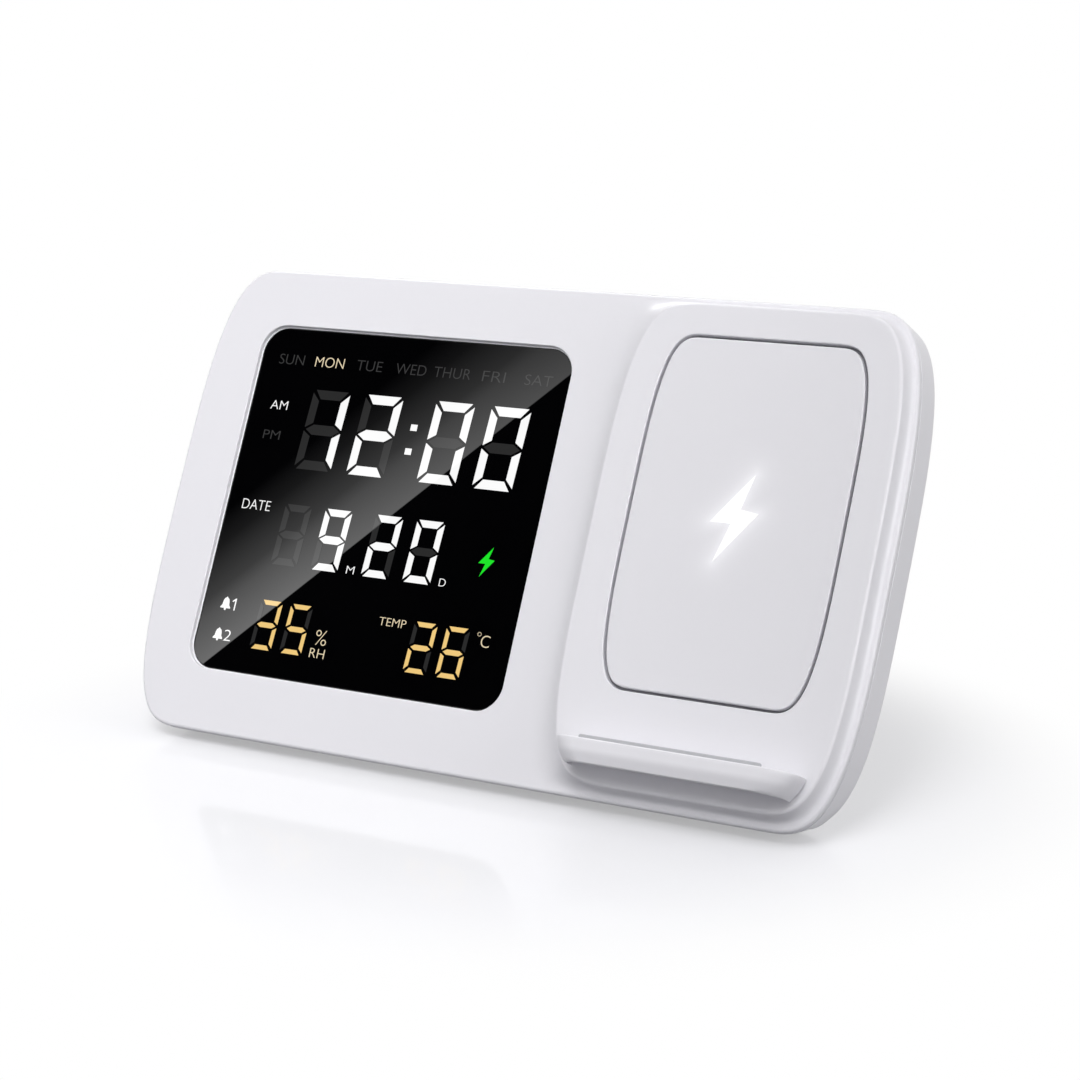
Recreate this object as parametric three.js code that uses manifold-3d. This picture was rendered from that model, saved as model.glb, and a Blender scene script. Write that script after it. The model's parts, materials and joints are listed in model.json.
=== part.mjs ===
// Digital alarm clock with a charging platform and a phone ledge.
// A thin two-part casing leans back on rubber feet and a fold-out kickstand.
// The casing is drawn in its own frame: X to the right, Y up its front face, Z out of that face,
// with the origin at the centre of the front face. One group then leans the casing back.

import * as THREE from 'three';
import { mergeVertices } from 'three/addons/utils/BufferGeometryUtils.js';
import Module from 'manifold-3d';

const wasm = await Module();
wasm.setup();

// Stance, in degrees
const LEAN = 25;
const KICK_OPEN = 36;

// Clearances, and how far a cutting solid runs past what it cuts
const GAP = 0.3;
const SIDE_GAP = 0.5;
const OVERRUN = 1;

// Display window
const WINDOW_W = 76;
const WINDOW_H = 75.1;
const WINDOW_CORNER = 6;
const WINDOW_LIP = 0.2;
const WINDOW_MARGIN = 12.7;
const WINDOW_MARGIN_Y = 12.6;
const WINDOW_RAISE = 0.45;
const WINDOW_TO_PLATFORM = 13.65;
const LENS_SET_BACK = 1;
const LENS_THICK = 1.2;
const SEAT_WIDTH = 2;
const SEAT_THICK = 0.9;
const COLLAR_WALL = 1.6;
const LCD_THICK = 1.4;
const DIFFUSER_THICK = 1;
const BACKLIGHT_THICK = 0.8;
const FRAME_RIM = 0.4;
const STACK_SPACE = 0.4;

// Charging platform
const PLATFORM_W = 58.8;
const PLATFORM_RISE = 3.5;
const PLATFORM_END = 16.5;
const PLATFORM_POWER = 4;
const PLATFORM_MARGIN = 2.1;
const PLATFORM_MARGIN_Y = 2.25;
const PLATFORM_SKIN = 1.8;
const PLATFORM_DRAFT = 1;
const PLATFORM_EDGE = 0.9;
const PLATFORM_EDGE_TURN = 80;
const BLEND_LENGTH = 8;
const BLEND_POWER = 1.67;
const BLEND_STARTS = 0.15;
const BLEND_FULL = 0.95;
const PANEL_W = 44;
const PANEL_H = 69.5;
const PANEL_END = 8.3;
const PANEL_POWER = 3.7;
const PANEL_TOP_MARGIN = 6.85;
const PANEL_THICK = 1.3;
const PANEL_GROOVE = 0.6;
const RECESS_FLOOR = 1.2;
const RECESS_WALL = 1.2;

// Casing
const BODY_END = 16;
const BODY_POWER = 3.5;
const WALL = 2;
const FRONT_EDGE = 0.7;
const RIM_DEPTH = 1.5;
const REAR_EDGE = 3.5;
const REAR_INNER_EDGE = 1.5;
const LOWER_EDGE = 1.35;
const LOWER_INNER_EDGE = 0.5;
const LIP_THICK = 1.2;
const LIP_DEPTH = 2;

// Charging parts behind the platform
const COIL_OUTER = 43;
const COIL_INNER = 21.5;
const COIL_THICK = 1.6;
const FERRITE_MARGIN = 1.5;
const FERRITE_THICK = 0.8;
const CARRIER_W = 50;
const CARRIER_H = 52;
const CARRIER_THICK = 1.2;
const CARRIER_CORNER = 3;
const CARRIER_POST = 1.8;
const CARRIER_POST_INSET = 2.6;
const LIGHT_HOLE = 20;
const LED_BOARD_THICK = 0.8;

// Phone ledge and its strip
const LEDGE_W = 49.2;
const LEDGE_REACH = 9;
const LEDGE_UP = 7.95;
const LEDGE_ROOT = 3.6;
const LEDGE_NOSE = 4.4;
const LEDGE_UNDERCUT = 0.8;
const LEDGE_BULGE = 0.5;
const LEDGE_EDGE = 0.5;
const LEDGE_CORNER = 5;
const LEDGE_INSET = 2;
const LEDGE_SCREW_SPREAD = 26;
const LEDGE_SCREW_BITE = 4;
const LEDGE_SCREW_HEAD = 1.7;
const LEDGE_SCREW_SHANK = 0.8;
const STRIP_L = 37.2;
const STRIP_W = 1.8;
const STRIP_PROUD = 1;
const STRIP_SUNK = 0.7;
const STRIP_SET_BACK = 0.7;

// Screws that join the two shells, their bosses in front and their pillars behind
const SCREW_HEAD = 2.1;
const SCREW_HEAD_THICK = 1.3;
const SCREW_SHANK = 1;
const COUNTERBORE_DEPTH = 2.5;
const BOSS_R = 2.6;
const BOSS_DROP = 4;
const BOSS_FLOOR = 1;
const BOSS_TO_EDGE = 0.8;
const PILLAR_R = 3;

// Kickstand
const KICK_W = 50;
const KICK_TIP_W = 42;
const KICK_THICK = 2.6;
const KICK_TIP_CORNER = 6;
const KICK_HINGE_DOWN = 26;
const KICK_BARREL = 1.9;
const KICK_PIN = 0.9;
const KICK_HEEL_REACH = 2.6;
const KICK_HEEL_HALF = 0.6;
const KICK_NOTCH = 5;
const KICK_NOTCH_UP = 16;
const WELL_FLOOR = 1.2;
const WELL_WALL = 2;
const KICK_FOOT_L = 30;
const KICK_FOOT_THICK = 2.5;
const KICK_TONGUE = 1;
const KICK_TONGUE_DEPTH = 1.5;

// Rubber feet under the lower rear edge
const FOOT_L = 18;
const FOOT_W = 4;
const FOOT_THICK = 1.4;
const FOOT_PROUD = 0.4;
const FOOT_FORWARD = 1.2;
const FOOT_SPREAD = 104;

// Rear buttons and the switches under them
const BUTTON_NAMES = ['button_set', 'button_down', 'button_up', 'button_alarm', 'button_light'];
const BUTTON_PITCH = 14;
const BUTTON_DOWN = 14.8;
const BUTTON_R = 3.2;
const BUTTON_PROUD = 0.5;
const BUTTON_RIM = 0.9;
const BUTTON_RIM_THICK = 0.6;
const BUTTON_TRAVEL = 0.5;
const SWITCH_SIZE = 4.5;
const SWITCH_THICK = 0.6;
const BUTTON_BOARD_END = 6;
const BUTTON_BOARD_W = 9;
const BUTTON_BOARD_THICK = 0.8;

// Main board, charging socket and backup cell
const MAIN_BOARD_W = 52;
const MAIN_BOARD_H = 64;
const MAIN_BOARD_IN = 8.3;
const MAIN_BOARD_Y = -5;
const MAIN_BOARD_THICK = 1.2;
const MAIN_BOARD_SPACE = 0.4;
const MAIN_POST = 2.2;
const MAIN_POST_INSET = 4;
const USB_OUT = 2.7;
const USB_UP = 7;
const USB_W = 9;
const USB_H = 3.3;
const USB_SHELL = 0.4;
const USB_DEPTH = 5;
const USB_TONGUE_W = 6.4;
const USB_TONGUE_H = 0.8;
const CELL_OUT = 2.7;
const CELL_Y = 9;
const CELL_R = 10;
const CELL_THICK = 2.5;
const HOLDER_BASE = 0.8;
const HOLDER_WALL = 1;
const HOLDER_H = 2.3;
const DOOR_STEP_WIDTH = 1.6;
const DOOR_STEP_THICK = 1.5;
const DOOR_TAIL = 6.6;
const DOOR_THICK = 2.2;
const DOOR_CORNER = 3;
const DOOR_SCREW_INSET = 3.3;
const DOOR_COUNTERBORE = 1.2;
const DOOR_HEAD_THICK = 0.8;
const DOOR_BITE = 2.2;

// Sounder, climate sensor and the openings over them
const BUZZER_IN = 27.95;
const BUZZER_Y = 8;
const BUZZER_R = 7;
const BUZZER_THICK = 2.4;
const BUZZER_RING_WALL = 1;
const BUZZER_RING_H = 2;
const SOUND_HOLE = 0.9;
const SOUND_RING = 3.4;
const SOUND_HOLES = 6;
const SENSOR_IN = 27.95;
const SENSOR_Y = -26;
const SENSOR_SIZE = 12;
const SENSOR_BOARD = 0.8;
const SENSOR_CHIP = 3;
const SENSOR_CHIP_THICK = 0.9;
const VENT_L = 12;
const VENT_W = 1.6;
const VENT_PITCH = 3.4;
const VENT_COUNT = 4;

// Facet counts, and the distance under which two points are one
const CORNER_STEPS = 6;
const END_STEPS = 9;
const EDGE_STEPS = 3;
const BLEND_STEPS = 6;
const ROUND_STEPS = 12;
const FINE_ROUND_STEPS = 24;
const SAME_POINT = 0.001;

// Finishes
const finish = (color, roughness, metalness = 0) =>
  new THREE.MeshStandardMaterial({ color, roughness, metalness });
const WHITE_ABS = finish(0xe9e8ec, 0.42);
const WHITE_PANEL = finish(0xe2e2e6, 0.38);
const BLACK_LENS = finish(0x0a0a0c, 0.06);
const LCD_GLASS = finish(0x15161a, 0.2);
const CLEAR_ACRYLIC = finish(0xdfe6ea, 0.2);
const CIRCUIT_BOARD = finish(0x1f5d3a, 0.5);
const BLACK_PLASTIC = finish(0x1b1b1d, 0.5);
const GREY_SILICONE = finish(0xb4b4b8, 0.75);
const PALE_RUBBER = finish(0xc4c4c8, 0.8);
const COPPER = finish(0xb46a3c, 0.35, 1);
const FERRITE = finish(0x3a3a3e, 0.6);
const STEEL = finish(0xb9bcc0, 0.3, 1);

// Places across the front face
const rad = THREE.MathUtils.degToRad;
const BODY_W = WINDOW_MARGIN + WINDOW_W + WINDOW_TO_PLATFORM + PLATFORM_W + PLATFORM_MARGIN;
const BODY_H = WINDOW_H + 2 * WINDOW_MARGIN_Y;
const WINDOW_X = -BODY_W / 2 + WINDOW_MARGIN + WINDOW_W / 2;
const PLATFORM_X = BODY_W / 2 - PLATFORM_MARGIN - PLATFORM_W / 2;
const PLATFORM_H = BODY_H - 2 * PLATFORM_MARGIN_Y;
const PANEL_Y = PLATFORM_H / 2 - PANEL_TOP_MARGIN - PANEL_H / 2;
const LEDGE_TOP = -PLATFORM_H / 2 + LEDGE_UP;
const LEDGE_MIDDLE = LEDGE_TOP - LEDGE_ROOT / 2;
const BUTTON_Y = BODY_H / 2 - BUTTON_DOWN;
const KICK_HINGE_Y = BODY_H / 2 - KICK_HINGE_DOWN;
const MAIN_BOARD_X = PLATFORM_X - MAIN_BOARD_IN;
const USB_X = PLATFORM_X + USB_OUT;
const USB_Y = MAIN_BOARD_Y - MAIN_BOARD_H / 2 + USB_UP;
const CELL_X = PLATFORM_X + CELL_OUT;
const BUZZER_X = BUZZER_IN - BODY_W / 2;
const SENSOR_X = SENSOR_IN - BODY_W / 2;

// Levels behind the display, from the lens back to the rear face
const LENS_BACK = -LENS_SET_BACK - LENS_THICK;
const SEAT_TOP = LENS_BACK - GAP;
const SEAT_END = SEAT_TOP - SEAT_THICK;
const LCD_BACK = LENS_BACK - GAP - LCD_THICK;
const DIFFUSER_BACK = LCD_BACK - GAP - DIFFUSER_THICK;
const BACKLIGHT_BACK = DIFFUSER_BACK - GAP - BACKLIGHT_THICK;
const BARREL_WELL_Z = BACKLIGHT_BACK - STACK_SPACE - WELL_FLOOR;
const KICK_HINGE_Z = BARREL_WELL_Z - GAP - KICK_BARREL;
const REAR_FACE = KICK_HINGE_Z - KICK_BARREL;
const REAR_INNER = REAR_FACE + WALL;
const REAR_TOP = -RIM_DEPTH - GAP;
const LIP_END = -RIM_DEPTH - LIP_DEPTH;
const LOWER_TAPER = REAR_EDGE - LOWER_EDGE;
const KICK_INNER = KICK_THICK - KICK_BARREL;
const WELL_Z = KICK_HINGE_Z + KICK_INNER + GAP;

// Levels behind the charging panel
const RECESS_Z = PLATFORM_RISE - PANEL_THICK - GAP;
const RECESS_UNDER = RECESS_Z - RECESS_FLOOR;
const SKIN_UNDER = PLATFORM_RISE - PLATFORM_SKIN;
const COIL_TOP = RECESS_UNDER - GAP;
const FERRITE_TOP = COIL_TOP - COIL_THICK - GAP;
const CARRIER_TOP = FERRITE_TOP - FERRITE_THICK - GAP;
const MAIN_TOP = CARRIER_TOP - CARRIER_THICK - MAIN_BOARD_SPACE;
const MAIN_BACK = MAIN_TOP - MAIN_BOARD_THICK;
const CELL_TOP = MAIN_BACK - GAP - HOLDER_BASE - GAP;

// Levels of the buttons, from the rear wall inwards
const BUTTON_RIM_Z = REAR_INNER + GAP;
const SWITCH_Z = BUTTON_RIM_Z + BUTTON_RIM_THICK + BUTTON_TRAVEL + GAP;
const BUTTON_BOARD_Z = SWITCH_Z + SWITCH_THICK + GAP;

// Height of a point of the casing's frame once it leans, and the floor's height there
const heightOf = (y, z) => y * Math.cos(rad(LEAN)) + z * Math.sin(rad(LEAN));
const EDGE_CENTRE_Y = -BODY_H / 2 + REAR_EDGE;
const EDGE_CENTRE_Z = REAR_FACE + LOWER_EDGE;
const FLOOR = heightOf(EDGE_CENTRE_Y, EDGE_CENTRE_Z) - LOWER_EDGE - FOOT_PROUD;
const HINGE_HEIGHT = heightOf(KICK_HINGE_Y, KICK_HINGE_Z) - FLOOR;

// Distance from the kickstand's axis to the floor, at a height z through the leg's thickness
const LEG_TILT = rad(KICK_OPEN - LEAN);
const legReach = (z) => (HINGE_HEIGHT - z * Math.sin(LEG_TILT)) / Math.cos(LEG_TILT);
const KICK_LENGTH = legReach(KICK_INNER) - KICK_FOOT_THICK;
const WELL_TOP = KICK_HINGE_Y + KICK_HEEL_REACH + GAP;
const WELL_LOW = KICK_HINGE_Y - legReach(-KICK_BARREL) - SIDE_GAP;
const WELL_W = KICK_W + 2 * SIDE_GAP;
const PIN_L = WELL_W + 2 * WELL_WALL - 2 * GAP;

// A closed mesh as a solid that can be joined and cut, and back
function solid(geometry) {
  const bare = geometry.clone();
  bare.deleteAttribute('normal');
  bare.deleteAttribute('uv');
  const merged = mergeVertices(bare);
  return new wasm.Manifold(new wasm.Mesh({
    numProp: 3,
    vertProperties: new Float32Array(merged.attributes.position.array),
    triVerts: new Uint32Array(merged.index.array),
  }));
}

function geometryOf(body) {
  const data = body.getMesh();
  const geometry = new THREE.BufferGeometry();
  geometry.setAttribute('position', new THREE.Float32BufferAttribute(data.vertProperties, 3));
  geometry.setIndex(new THREE.Uint32BufferAttribute(data.triVerts, 1));
  geometry.computeVertexNormals();
  return geometry;
}

const join = (first, ...others) => others.reduce((sum, other) => sum.add(other), first);
const cut = (first, ...others) => others.reduce((sum, other) => sum.subtract(other), first);

// A rectangle with soft corners, as counter-clockwise points with outward normals. Its corners are
// round, but with a power each end is one superellipse that runs the whole height.
function outline({ x = 0, y = 0, w, h, corner, power = 2 }) {
  const endH = power === 2 ? corner : h / 2;
  const steps = power === 2 ? CORNER_STEPS : END_STEPS;
  const bend = 2 / power;
  const points = [];
  [[1, 1], [-1, 1], [-1, -1], [1, -1]].forEach(([sx, sy], quarter) => {
    for (let step = 0; step <= steps; step += 1) {
      const angle = (quarter + step / steps) * Math.PI / 2;
      const across = Math.abs(Math.cos(angle));
      const up = Math.abs(Math.sin(angle));
      const normal = new THREE.Vector2(
        sx * across ** (2 - bend) / corner,
        sy * up ** (2 - bend) / endH,
      ).normalize();
      points.push({
        x: x + sx * (w / 2 - corner + corner * across ** bend),
        y: y + sy * (h / 2 - endH + endH * up ** bend),
        nx: normal.x,
        ny: normal.y,
      });
    }
  });
  return points.filter((point, index) => {
    const last = points.at(index - 1);
    return Math.hypot(point.x - last.x, point.y - last.y) > SAME_POINT;
  });
}

// One ring of an outline, pushed out by a distance, at one level
const ring = (line, out, z) => line.map((p) => new THREE.Vector3(p.x + p.nx * out, p.y + p.ny * out, z));

// Closed solid through a stack of rings with equal counts, from the lowest ring to the highest
function loft(rings) {
  const count = rings[0].length;
  const index = [];
  for (let level = 0; level < rings.length - 1; level += 1) {
    for (let i = 0; i < count; i += 1) {
      const a = level * count + i;
      const b = level * count + (i + 1) % count;
      index.push(a, b, b + count, a, b + count, a + count);
    }
  }
  const cap = (level, facesDown) => {
    const flat = rings[level].map((p) => new THREE.Vector2(p.x, p.y));
    THREE.ShapeUtils.triangulateShape(flat, []).forEach(([a, b, c]) => {
      const base = level * count;
      index.push(base + a, base + (facesDown ? c : b), base + (facesDown ? b : c));
    });
  };
  cap(0, true);
  cap(rings.length - 1, false);
  const geometry = new THREE.BufferGeometry();
  const positions = rings.flat().flatMap((p) => [p.x, p.y, p.z]);
  geometry.setAttribute('position', new THREE.Float32BufferAttribute(positions, 3));
  geometry.setIndex(index);
  return solid(geometry);
}

// Straight-sided solids between two levels
const slab = (line, low, high, out = 0) => loft([ring(line, out, low), ring(line, out, high)]);

function box(x, y, low, w, h, high) {
  return solid(new THREE.BoxGeometry(w, h, high - low).translate(x, y, (low + high) / 2));
}

function rod(x, y, low, r, high, steps = ROUND_STEPS) {
  const upright = new THREE.CylinderGeometry(r, r, high - low, steps).rotateX(Math.PI / 2);
  return solid(upright.translate(x, y, (low + high) / 2));
}

// A cylinder along X about the middle
function crossRod(y, z, r, length) {
  const geometry = new THREE.CylinderGeometry(r, r, length, ROUND_STEPS).rotateZ(Math.PI / 2);
  return solid(geometry.translate(0, y, z));
}

// A profile drawn as [y, z] points, extruded along X about the middle
function acrossProfile(points, length) {
  const shape = new THREE.Shape(points.map(([y, z]) => new THREE.Vector2(-z, y)));
  const geometry = new THREE.ExtrudeGeometry(shape, { depth: length, bevelEnabled: false });
  return geometry.translate(0, 0, -length / 2).rotateY(Math.PI / 2);
}

// A screw whose head faces -Z and whose shank runs towards +Z
function screw({ x, y, low, head, headThick, shank, tip }) {
  return join(rod(x, y, low, head, low + headThick), rod(x, y, low + headThick / 2, shank, tip));
}

// Outlines that several pieces share
const bodyLine = outline({ w: BODY_W, h: BODY_H, corner: BODY_END, power: BODY_POWER });
const windowLine = outline({
  x: WINDOW_X,
  y: WINDOW_RAISE,
  w: WINDOW_W,
  h: WINDOW_H,
  corner: WINDOW_CORNER,
});
const platformLine = outline({
  x: PLATFORM_X,
  w: PLATFORM_W,
  h: PLATFORM_H,
  corner: PLATFORM_END,
  power: PLATFORM_POWER,
});
const panelLine = outline({
  x: PLATFORM_X,
  y: PANEL_Y,
  w: PANEL_W,
  h: PANEL_H,
  corner: PANEL_END,
  power: PANEL_POWER,
});
const usbLine = outline({ x: USB_X, y: USB_Y, w: USB_W, h: USB_H, corner: USB_H / 2 });

// Screw places: one in each corner, one in the top edge and one in the lower edge. Each keeps its
// counterbore on the flat of the rear face, inside the rounded edge.
const bossInset = REAR_EDGE + SCREW_HEAD + GAP + BOSS_TO_EDGE;
const diagonal = bodyLine.reduce((best, p) => (
  p.nx > 0 && p.ny > 0 && Math.abs(p.nx - p.ny) < Math.abs(best.nx - best.ny) ? p : best
));
const cornerBossX = diagonal.x - bossInset * diagonal.nx;
const cornerBossY = diagonal.y - bossInset * diagonal.ny;
const edgeBossY = BODY_H / 2 - bossInset;
const windowRight = WINDOW_X + WINDOW_W / 2;
const bosses = [
  { x: windowRight + WINDOW_TO_PLATFORM / 2, y: edgeBossY, top: -RIM_DEPTH },
  { x: -(WELL_W / 2 + WELL_WALL + PILLAR_R + SIDE_GAP), y: -edgeBossY, top: -RIM_DEPTH },
];
[-1, 1].forEach((side) => {
  bosses.push({ x: -cornerBossX, y: side * cornerBossY, top: -RIM_DEPTH });
  bosses.push({ x: cornerBossX, y: side * cornerBossY, top: SKIN_UNDER });
});
const bossEnd = -RIM_DEPTH - BOSS_DROP;

// Corner places of a rectangle, inset from its sides
function cornerPlaces(x, y, w, h, inset) {
  const dx = w / 2 - inset;
  const dy = h / 2 - inset;
  return [[1, 1], [-1, 1], [-1, -1], [1, -1]].map(([sx, sy]) => [x + sx * dx, y + sy * dy]);
}

// The front plate with its rounded edge
function plate() {
  const rings = [ring(bodyLine, 0, -RIM_DEPTH)];
  for (let step = 0; step <= EDGE_STEPS; step += 1) {
    const turn = step / EDGE_STEPS * Math.PI / 2;
    rings.push(ring(bodyLine, FRONT_EDGE * (Math.cos(turn) - 1), FRONT_EDGE * (Math.sin(turn) - 1)));
  }
  return loft(rings);
}

// The raised platform: steep sides with a small rounded edge, and a long soft blend on its left
function platform() {
  const rings = [];
  for (let step = -1; step <= BLEND_STEPS; step += 1) {
    const t = Math.max(step, 0) / BLEND_STEPS;
    const turn = rad(PLATFORM_EDGE_TURN) * (1 - t);
    const atFoot = step <= 0;
    const steepOut = atFoot ? PLATFORM_DRAFT : PLATFORM_EDGE * (Math.sin(turn) - 1);
    const steepZ = atFoot ? 0 : PLATFORM_RISE - PLATFORM_EDGE * (1 - Math.cos(turn));
    const softOut = BLEND_LENGTH * (1 - t) ** BLEND_POWER;
    const softZ = PLATFORM_RISE * (1 - Math.cos(Math.PI * t)) / 2;
    rings.push(platformLine.map((p) => {
      const share = THREE.MathUtils.smoothstep(-p.nx, BLEND_STARTS, BLEND_FULL);
      const out = THREE.MathUtils.lerp(steepOut, softOut, share);
      const z = step < 0 ? -RIM_DEPTH / 2 : THREE.MathUtils.lerp(steepZ, softZ, share);
      return new THREE.Vector3(p.x + p.nx * out, p.y + p.ny * out, z);
    }));
  }
  return loft(rings);
}

function frontShell() {
  const lipOut = -WALL - GAP;
  const hollow = cut(
    slab(platformLine, -RIM_DEPTH - OVERRUN, SKIN_UNDER, -PLATFORM_SKIN),
    slab(panelLine, RECESS_UNDER, PLATFORM_RISE, PANEL_GROOVE + RECESS_WALL),
  );
  const collar = slab(windowLine, SEAT_END, -RIM_DEPTH / 2, COLLAR_WALL);
  const lip = cut(
    slab(bodyLine, LIP_END, -RIM_DEPTH / 2, lipOut),
    slab(bodyLine, LIP_END - OVERRUN, 0, lipOut - LIP_THICK),
  );
  const posts = bosses.map(({ x, y, top }) => rod(x, y, bossEnd, BOSS_R, top + GAP));
  const carrierPosts = cornerPlaces(PLATFORM_X, PANEL_Y, CARRIER_W, CARRIER_H, CARRIER_POST_INSET)
    .map(([x, y]) => rod(x, y, CARRIER_TOP + GAP, CARRIER_POST, SKIN_UNDER + GAP));
  return cut(
    join(cut(join(plate(), platform()), hollow), collar, lip, ...posts, ...carrierPosts),
    slab(windowLine, SEAT_TOP, OVERRUN),
    loft([ring(windowLine, 0, -WINDOW_LIP), ring(windowLine, WINDOW_LIP + OVERRUN, OVERRUN)]),
    slab(windowLine, SEAT_END - OVERRUN, 0, -SEAT_WIDTH),
    slab(panelLine, RECESS_Z, PLATFORM_RISE + OVERRUN, PANEL_GROOVE),
    rod(PLATFORM_X, PANEL_Y, 0, LIGHT_HOLE / 2, PLATFORM_RISE, FINE_ROUND_STEPS),
    ...bosses.map(({ x, y, top }) => rod(x, y, bossEnd - OVERRUN, SCREW_SHANK + GAP, top - BOSS_FLOOR)),
    ...ledgeScrewPlaces.map((x) => rod(x, LEDGE_MIDDLE, 0, LEDGE_SCREW_SHANK + GAP, LEDGE_FRONT)),
  );
}

// Phone ledge: a thin shelf with a bulged front, trimmed to the platform's lower corners
const LEDGE_BACK = PLATFORM_RISE + GAP;
const LEDGE_FRONT = PLATFORM_RISE + LEDGE_REACH;
const ledgeScrewPlaces = [-1, 1].map((side) => PLATFORM_X + side * LEDGE_SCREW_SPREAD / 2);

function ledgeProfile() {
  const nose = [];
  const upperFront = LEDGE_FRONT - LEDGE_BULGE / 2;
  for (let step = 0; step <= BLEND_STEPS; step += 1) {
    const t = step / BLEND_STEPS;
    const back = LEDGE_UNDERCUT * t * t - LEDGE_BULGE * Math.sin(Math.PI * t) * (1 - t);
    nose.push([LEDGE_TOP - LEDGE_EDGE - (LEDGE_NOSE - LEDGE_EDGE) * t, upperFront - back]);
  }
  return [
    [LEDGE_TOP, LEDGE_BACK],
    [LEDGE_TOP, upperFront - LEDGE_EDGE],
    ...nose,
    [LEDGE_TOP - LEDGE_ROOT, LEDGE_BACK],
  ];
}

function phoneLedge() {
  const side = solid(acrossProfile(ledgeProfile(), LEDGE_W).translate(PLATFORM_X, 0, 0));
  const planLine = outline({ w: LEDGE_W, h: 2 * LEDGE_FRONT, corner: LEDGE_CORNER });
  const planSlab = geometryOf(slab(planLine, LEDGE_TOP - BODY_H / 2, LEDGE_TOP + BODY_H / 2));
  const plan = solid(planSlab.rotateX(-Math.PI / 2).translate(PLATFORM_X, 0, 0));
  const front = slab(platformLine, 0, LEDGE_FRONT + OVERRUN, -LEDGE_INSET);
  const holeEnd = LEDGE_BACK + LEDGE_SCREW_BITE + GAP;
  return cut(
    side.intersect(plan).intersect(front),
    gripStrip(GAP),
    ...ledgeScrewPlaces.map((x) => rod(x, LEDGE_MIDDLE, 0, LEDGE_SCREW_SHANK + GAP, holeEnd)),
  );
}

// Round-ended silicone strip, sunk in a slot near the ledge's front edge
function gripStrip(extra = 0) {
  const line = outline({ w: STRIP_L + 2 * extra, h: STRIP_W + 2 * extra, corner: STRIP_W / 2 + extra });
  const z = LEDGE_FRONT - STRIP_SET_BACK - STRIP_W / 2;
  const lying = geometryOf(slab(line, -STRIP_SUNK - extra, STRIP_PROUD)).rotateX(-Math.PI / 2);
  return solid(lying.translate(PLATFORM_X, LEDGE_TOP, z));
}

// Rings of the rear casing's rounded edge, from its flat face up to its side. The side is upright,
// but below it is drawn in towards a tighter edge, so that the casing stands clear of the floor.
function rearRings(inset, low, edge, lowerEdge) {
  return Array.from({ length: EDGE_STEPS + 1 }, (_, step) => {
    const turn = (1 - step / EDGE_STEPS) * Math.PI / 2;
    return bodyLine.map((p) => {
      const share = THREE.MathUtils.smoothstep(-p.ny, 0, 1);
      const r = THREE.MathUtils.lerp(edge, lowerEdge, share);
      const out = -inset - LOWER_TAPER * share + r * (Math.cos(turn) - 1);
      return new THREE.Vector3(p.x + p.nx * out, p.y + p.ny * out, low + r * (1 - Math.sin(turn)));
    });
  });
}

// Walls and hollow of the recess that the kickstand folds into
function kickWell() {
  const leafMiddle = (WELL_TOP + WELL_LOW) / 2;
  const leafLength = WELL_TOP - WELL_LOW;
  const barrelLow = KICK_HINGE_Y - KICK_BARREL - GAP;
  const barrelMiddle = (WELL_TOP + barrelLow) / 2;
  const barrelLength = WELL_TOP - barrelLow;
  const wallW = WELL_W + 2 * WELL_WALL;
  const rim = 2 * WELL_FLOOR;
  const walls = join(
    box(0, leafMiddle, REAR_FACE + OVERRUN, wallW, leafLength + rim, WELL_Z + WELL_FLOOR),
    box(0, barrelMiddle, REAR_FACE + OVERRUN, wallW, barrelLength + rim, BARREL_WELL_Z + WELL_FLOOR),
  );
  const hollow = join(
    box(0, leafMiddle, REAR_FACE - OVERRUN, WELL_W, leafLength, WELL_Z),
    box(0, barrelMiddle, REAR_FACE - OVERRUN, WELL_W, barrelLength, BARREL_WELL_Z),
    crossRod(KICK_HINGE_Y, KICK_HINGE_Z, KICK_PIN + GAP, PIN_L + 2 * GAP),
  );
  return { walls, hollow };
}

// A foot whose underside lies level once the casing leans
const footPlaces = [-1, 1].map((side) => side * FOOT_SPREAD / 2);

function foot(x, extra = 0) {
  const drop = LOWER_EDGE + FOOT_PROUD - FOOT_THICK / 2;
  const size = [FOOT_L, FOOT_W, FOOT_THICK].map((side) => side + 2 * extra);
  const level = new THREE.BoxGeometry(...size).translate(0, -FOOT_FORWARD, -drop);
  level.rotateX(-rad(90 - LEAN));
  return solid(level.translate(x, EDGE_CENTRE_Y, EDGE_CENTRE_Z));
}

// Battery door and the cell behind it
const holderR = CELL_R + GAP + HOLDER_WALL;
const DOOR_W = 2 * (holderR + GAP + DOOR_STEP_WIDTH);
const DOOR_H = DOOR_W + DOOR_TAIL;
const DOOR_Y = CELL_Y + DOOR_TAIL / 2;
const DOOR_SEAT = REAR_FACE + DOOR_THICK + GAP;
const doorScrewY = DOOR_Y + DOOR_H / 2 - DOOR_SCREW_INSET;
const doorLine = outline({ x: CELL_X, y: DOOR_Y, w: DOOR_W, h: DOOR_H, corner: DOOR_CORNER });

function batteryDoor() {
  return cut(
    slab(doorLine, REAR_FACE, REAR_FACE + DOOR_THICK),
    rod(CELL_X, doorScrewY, REAR_FACE - OVERRUN, SCREW_HEAD + GAP, REAR_FACE + DOOR_COUNTERBORE),
    rod(CELL_X, doorScrewY, REAR_FACE, SCREW_SHANK + GAP, REAR_FACE + DOOR_THICK + OVERRUN),
  );
}

function cellHolder() {
  const top = MAIN_BACK - GAP;
  return cut(
    rod(CELL_X, CELL_Y, top - HOLDER_H, holderR, top, FINE_ROUND_STEPS),
    rod(CELL_X, CELL_Y, top - HOLDER_H - OVERRUN, CELL_R + GAP, top - HOLDER_BASE, FINE_ROUND_STEPS),
  );
}

// Openings through the rear wall
const wallCut = (x, y, r) => rod(x, y, REAR_FACE - OVERRUN, r, REAR_INNER + GAP);

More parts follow.
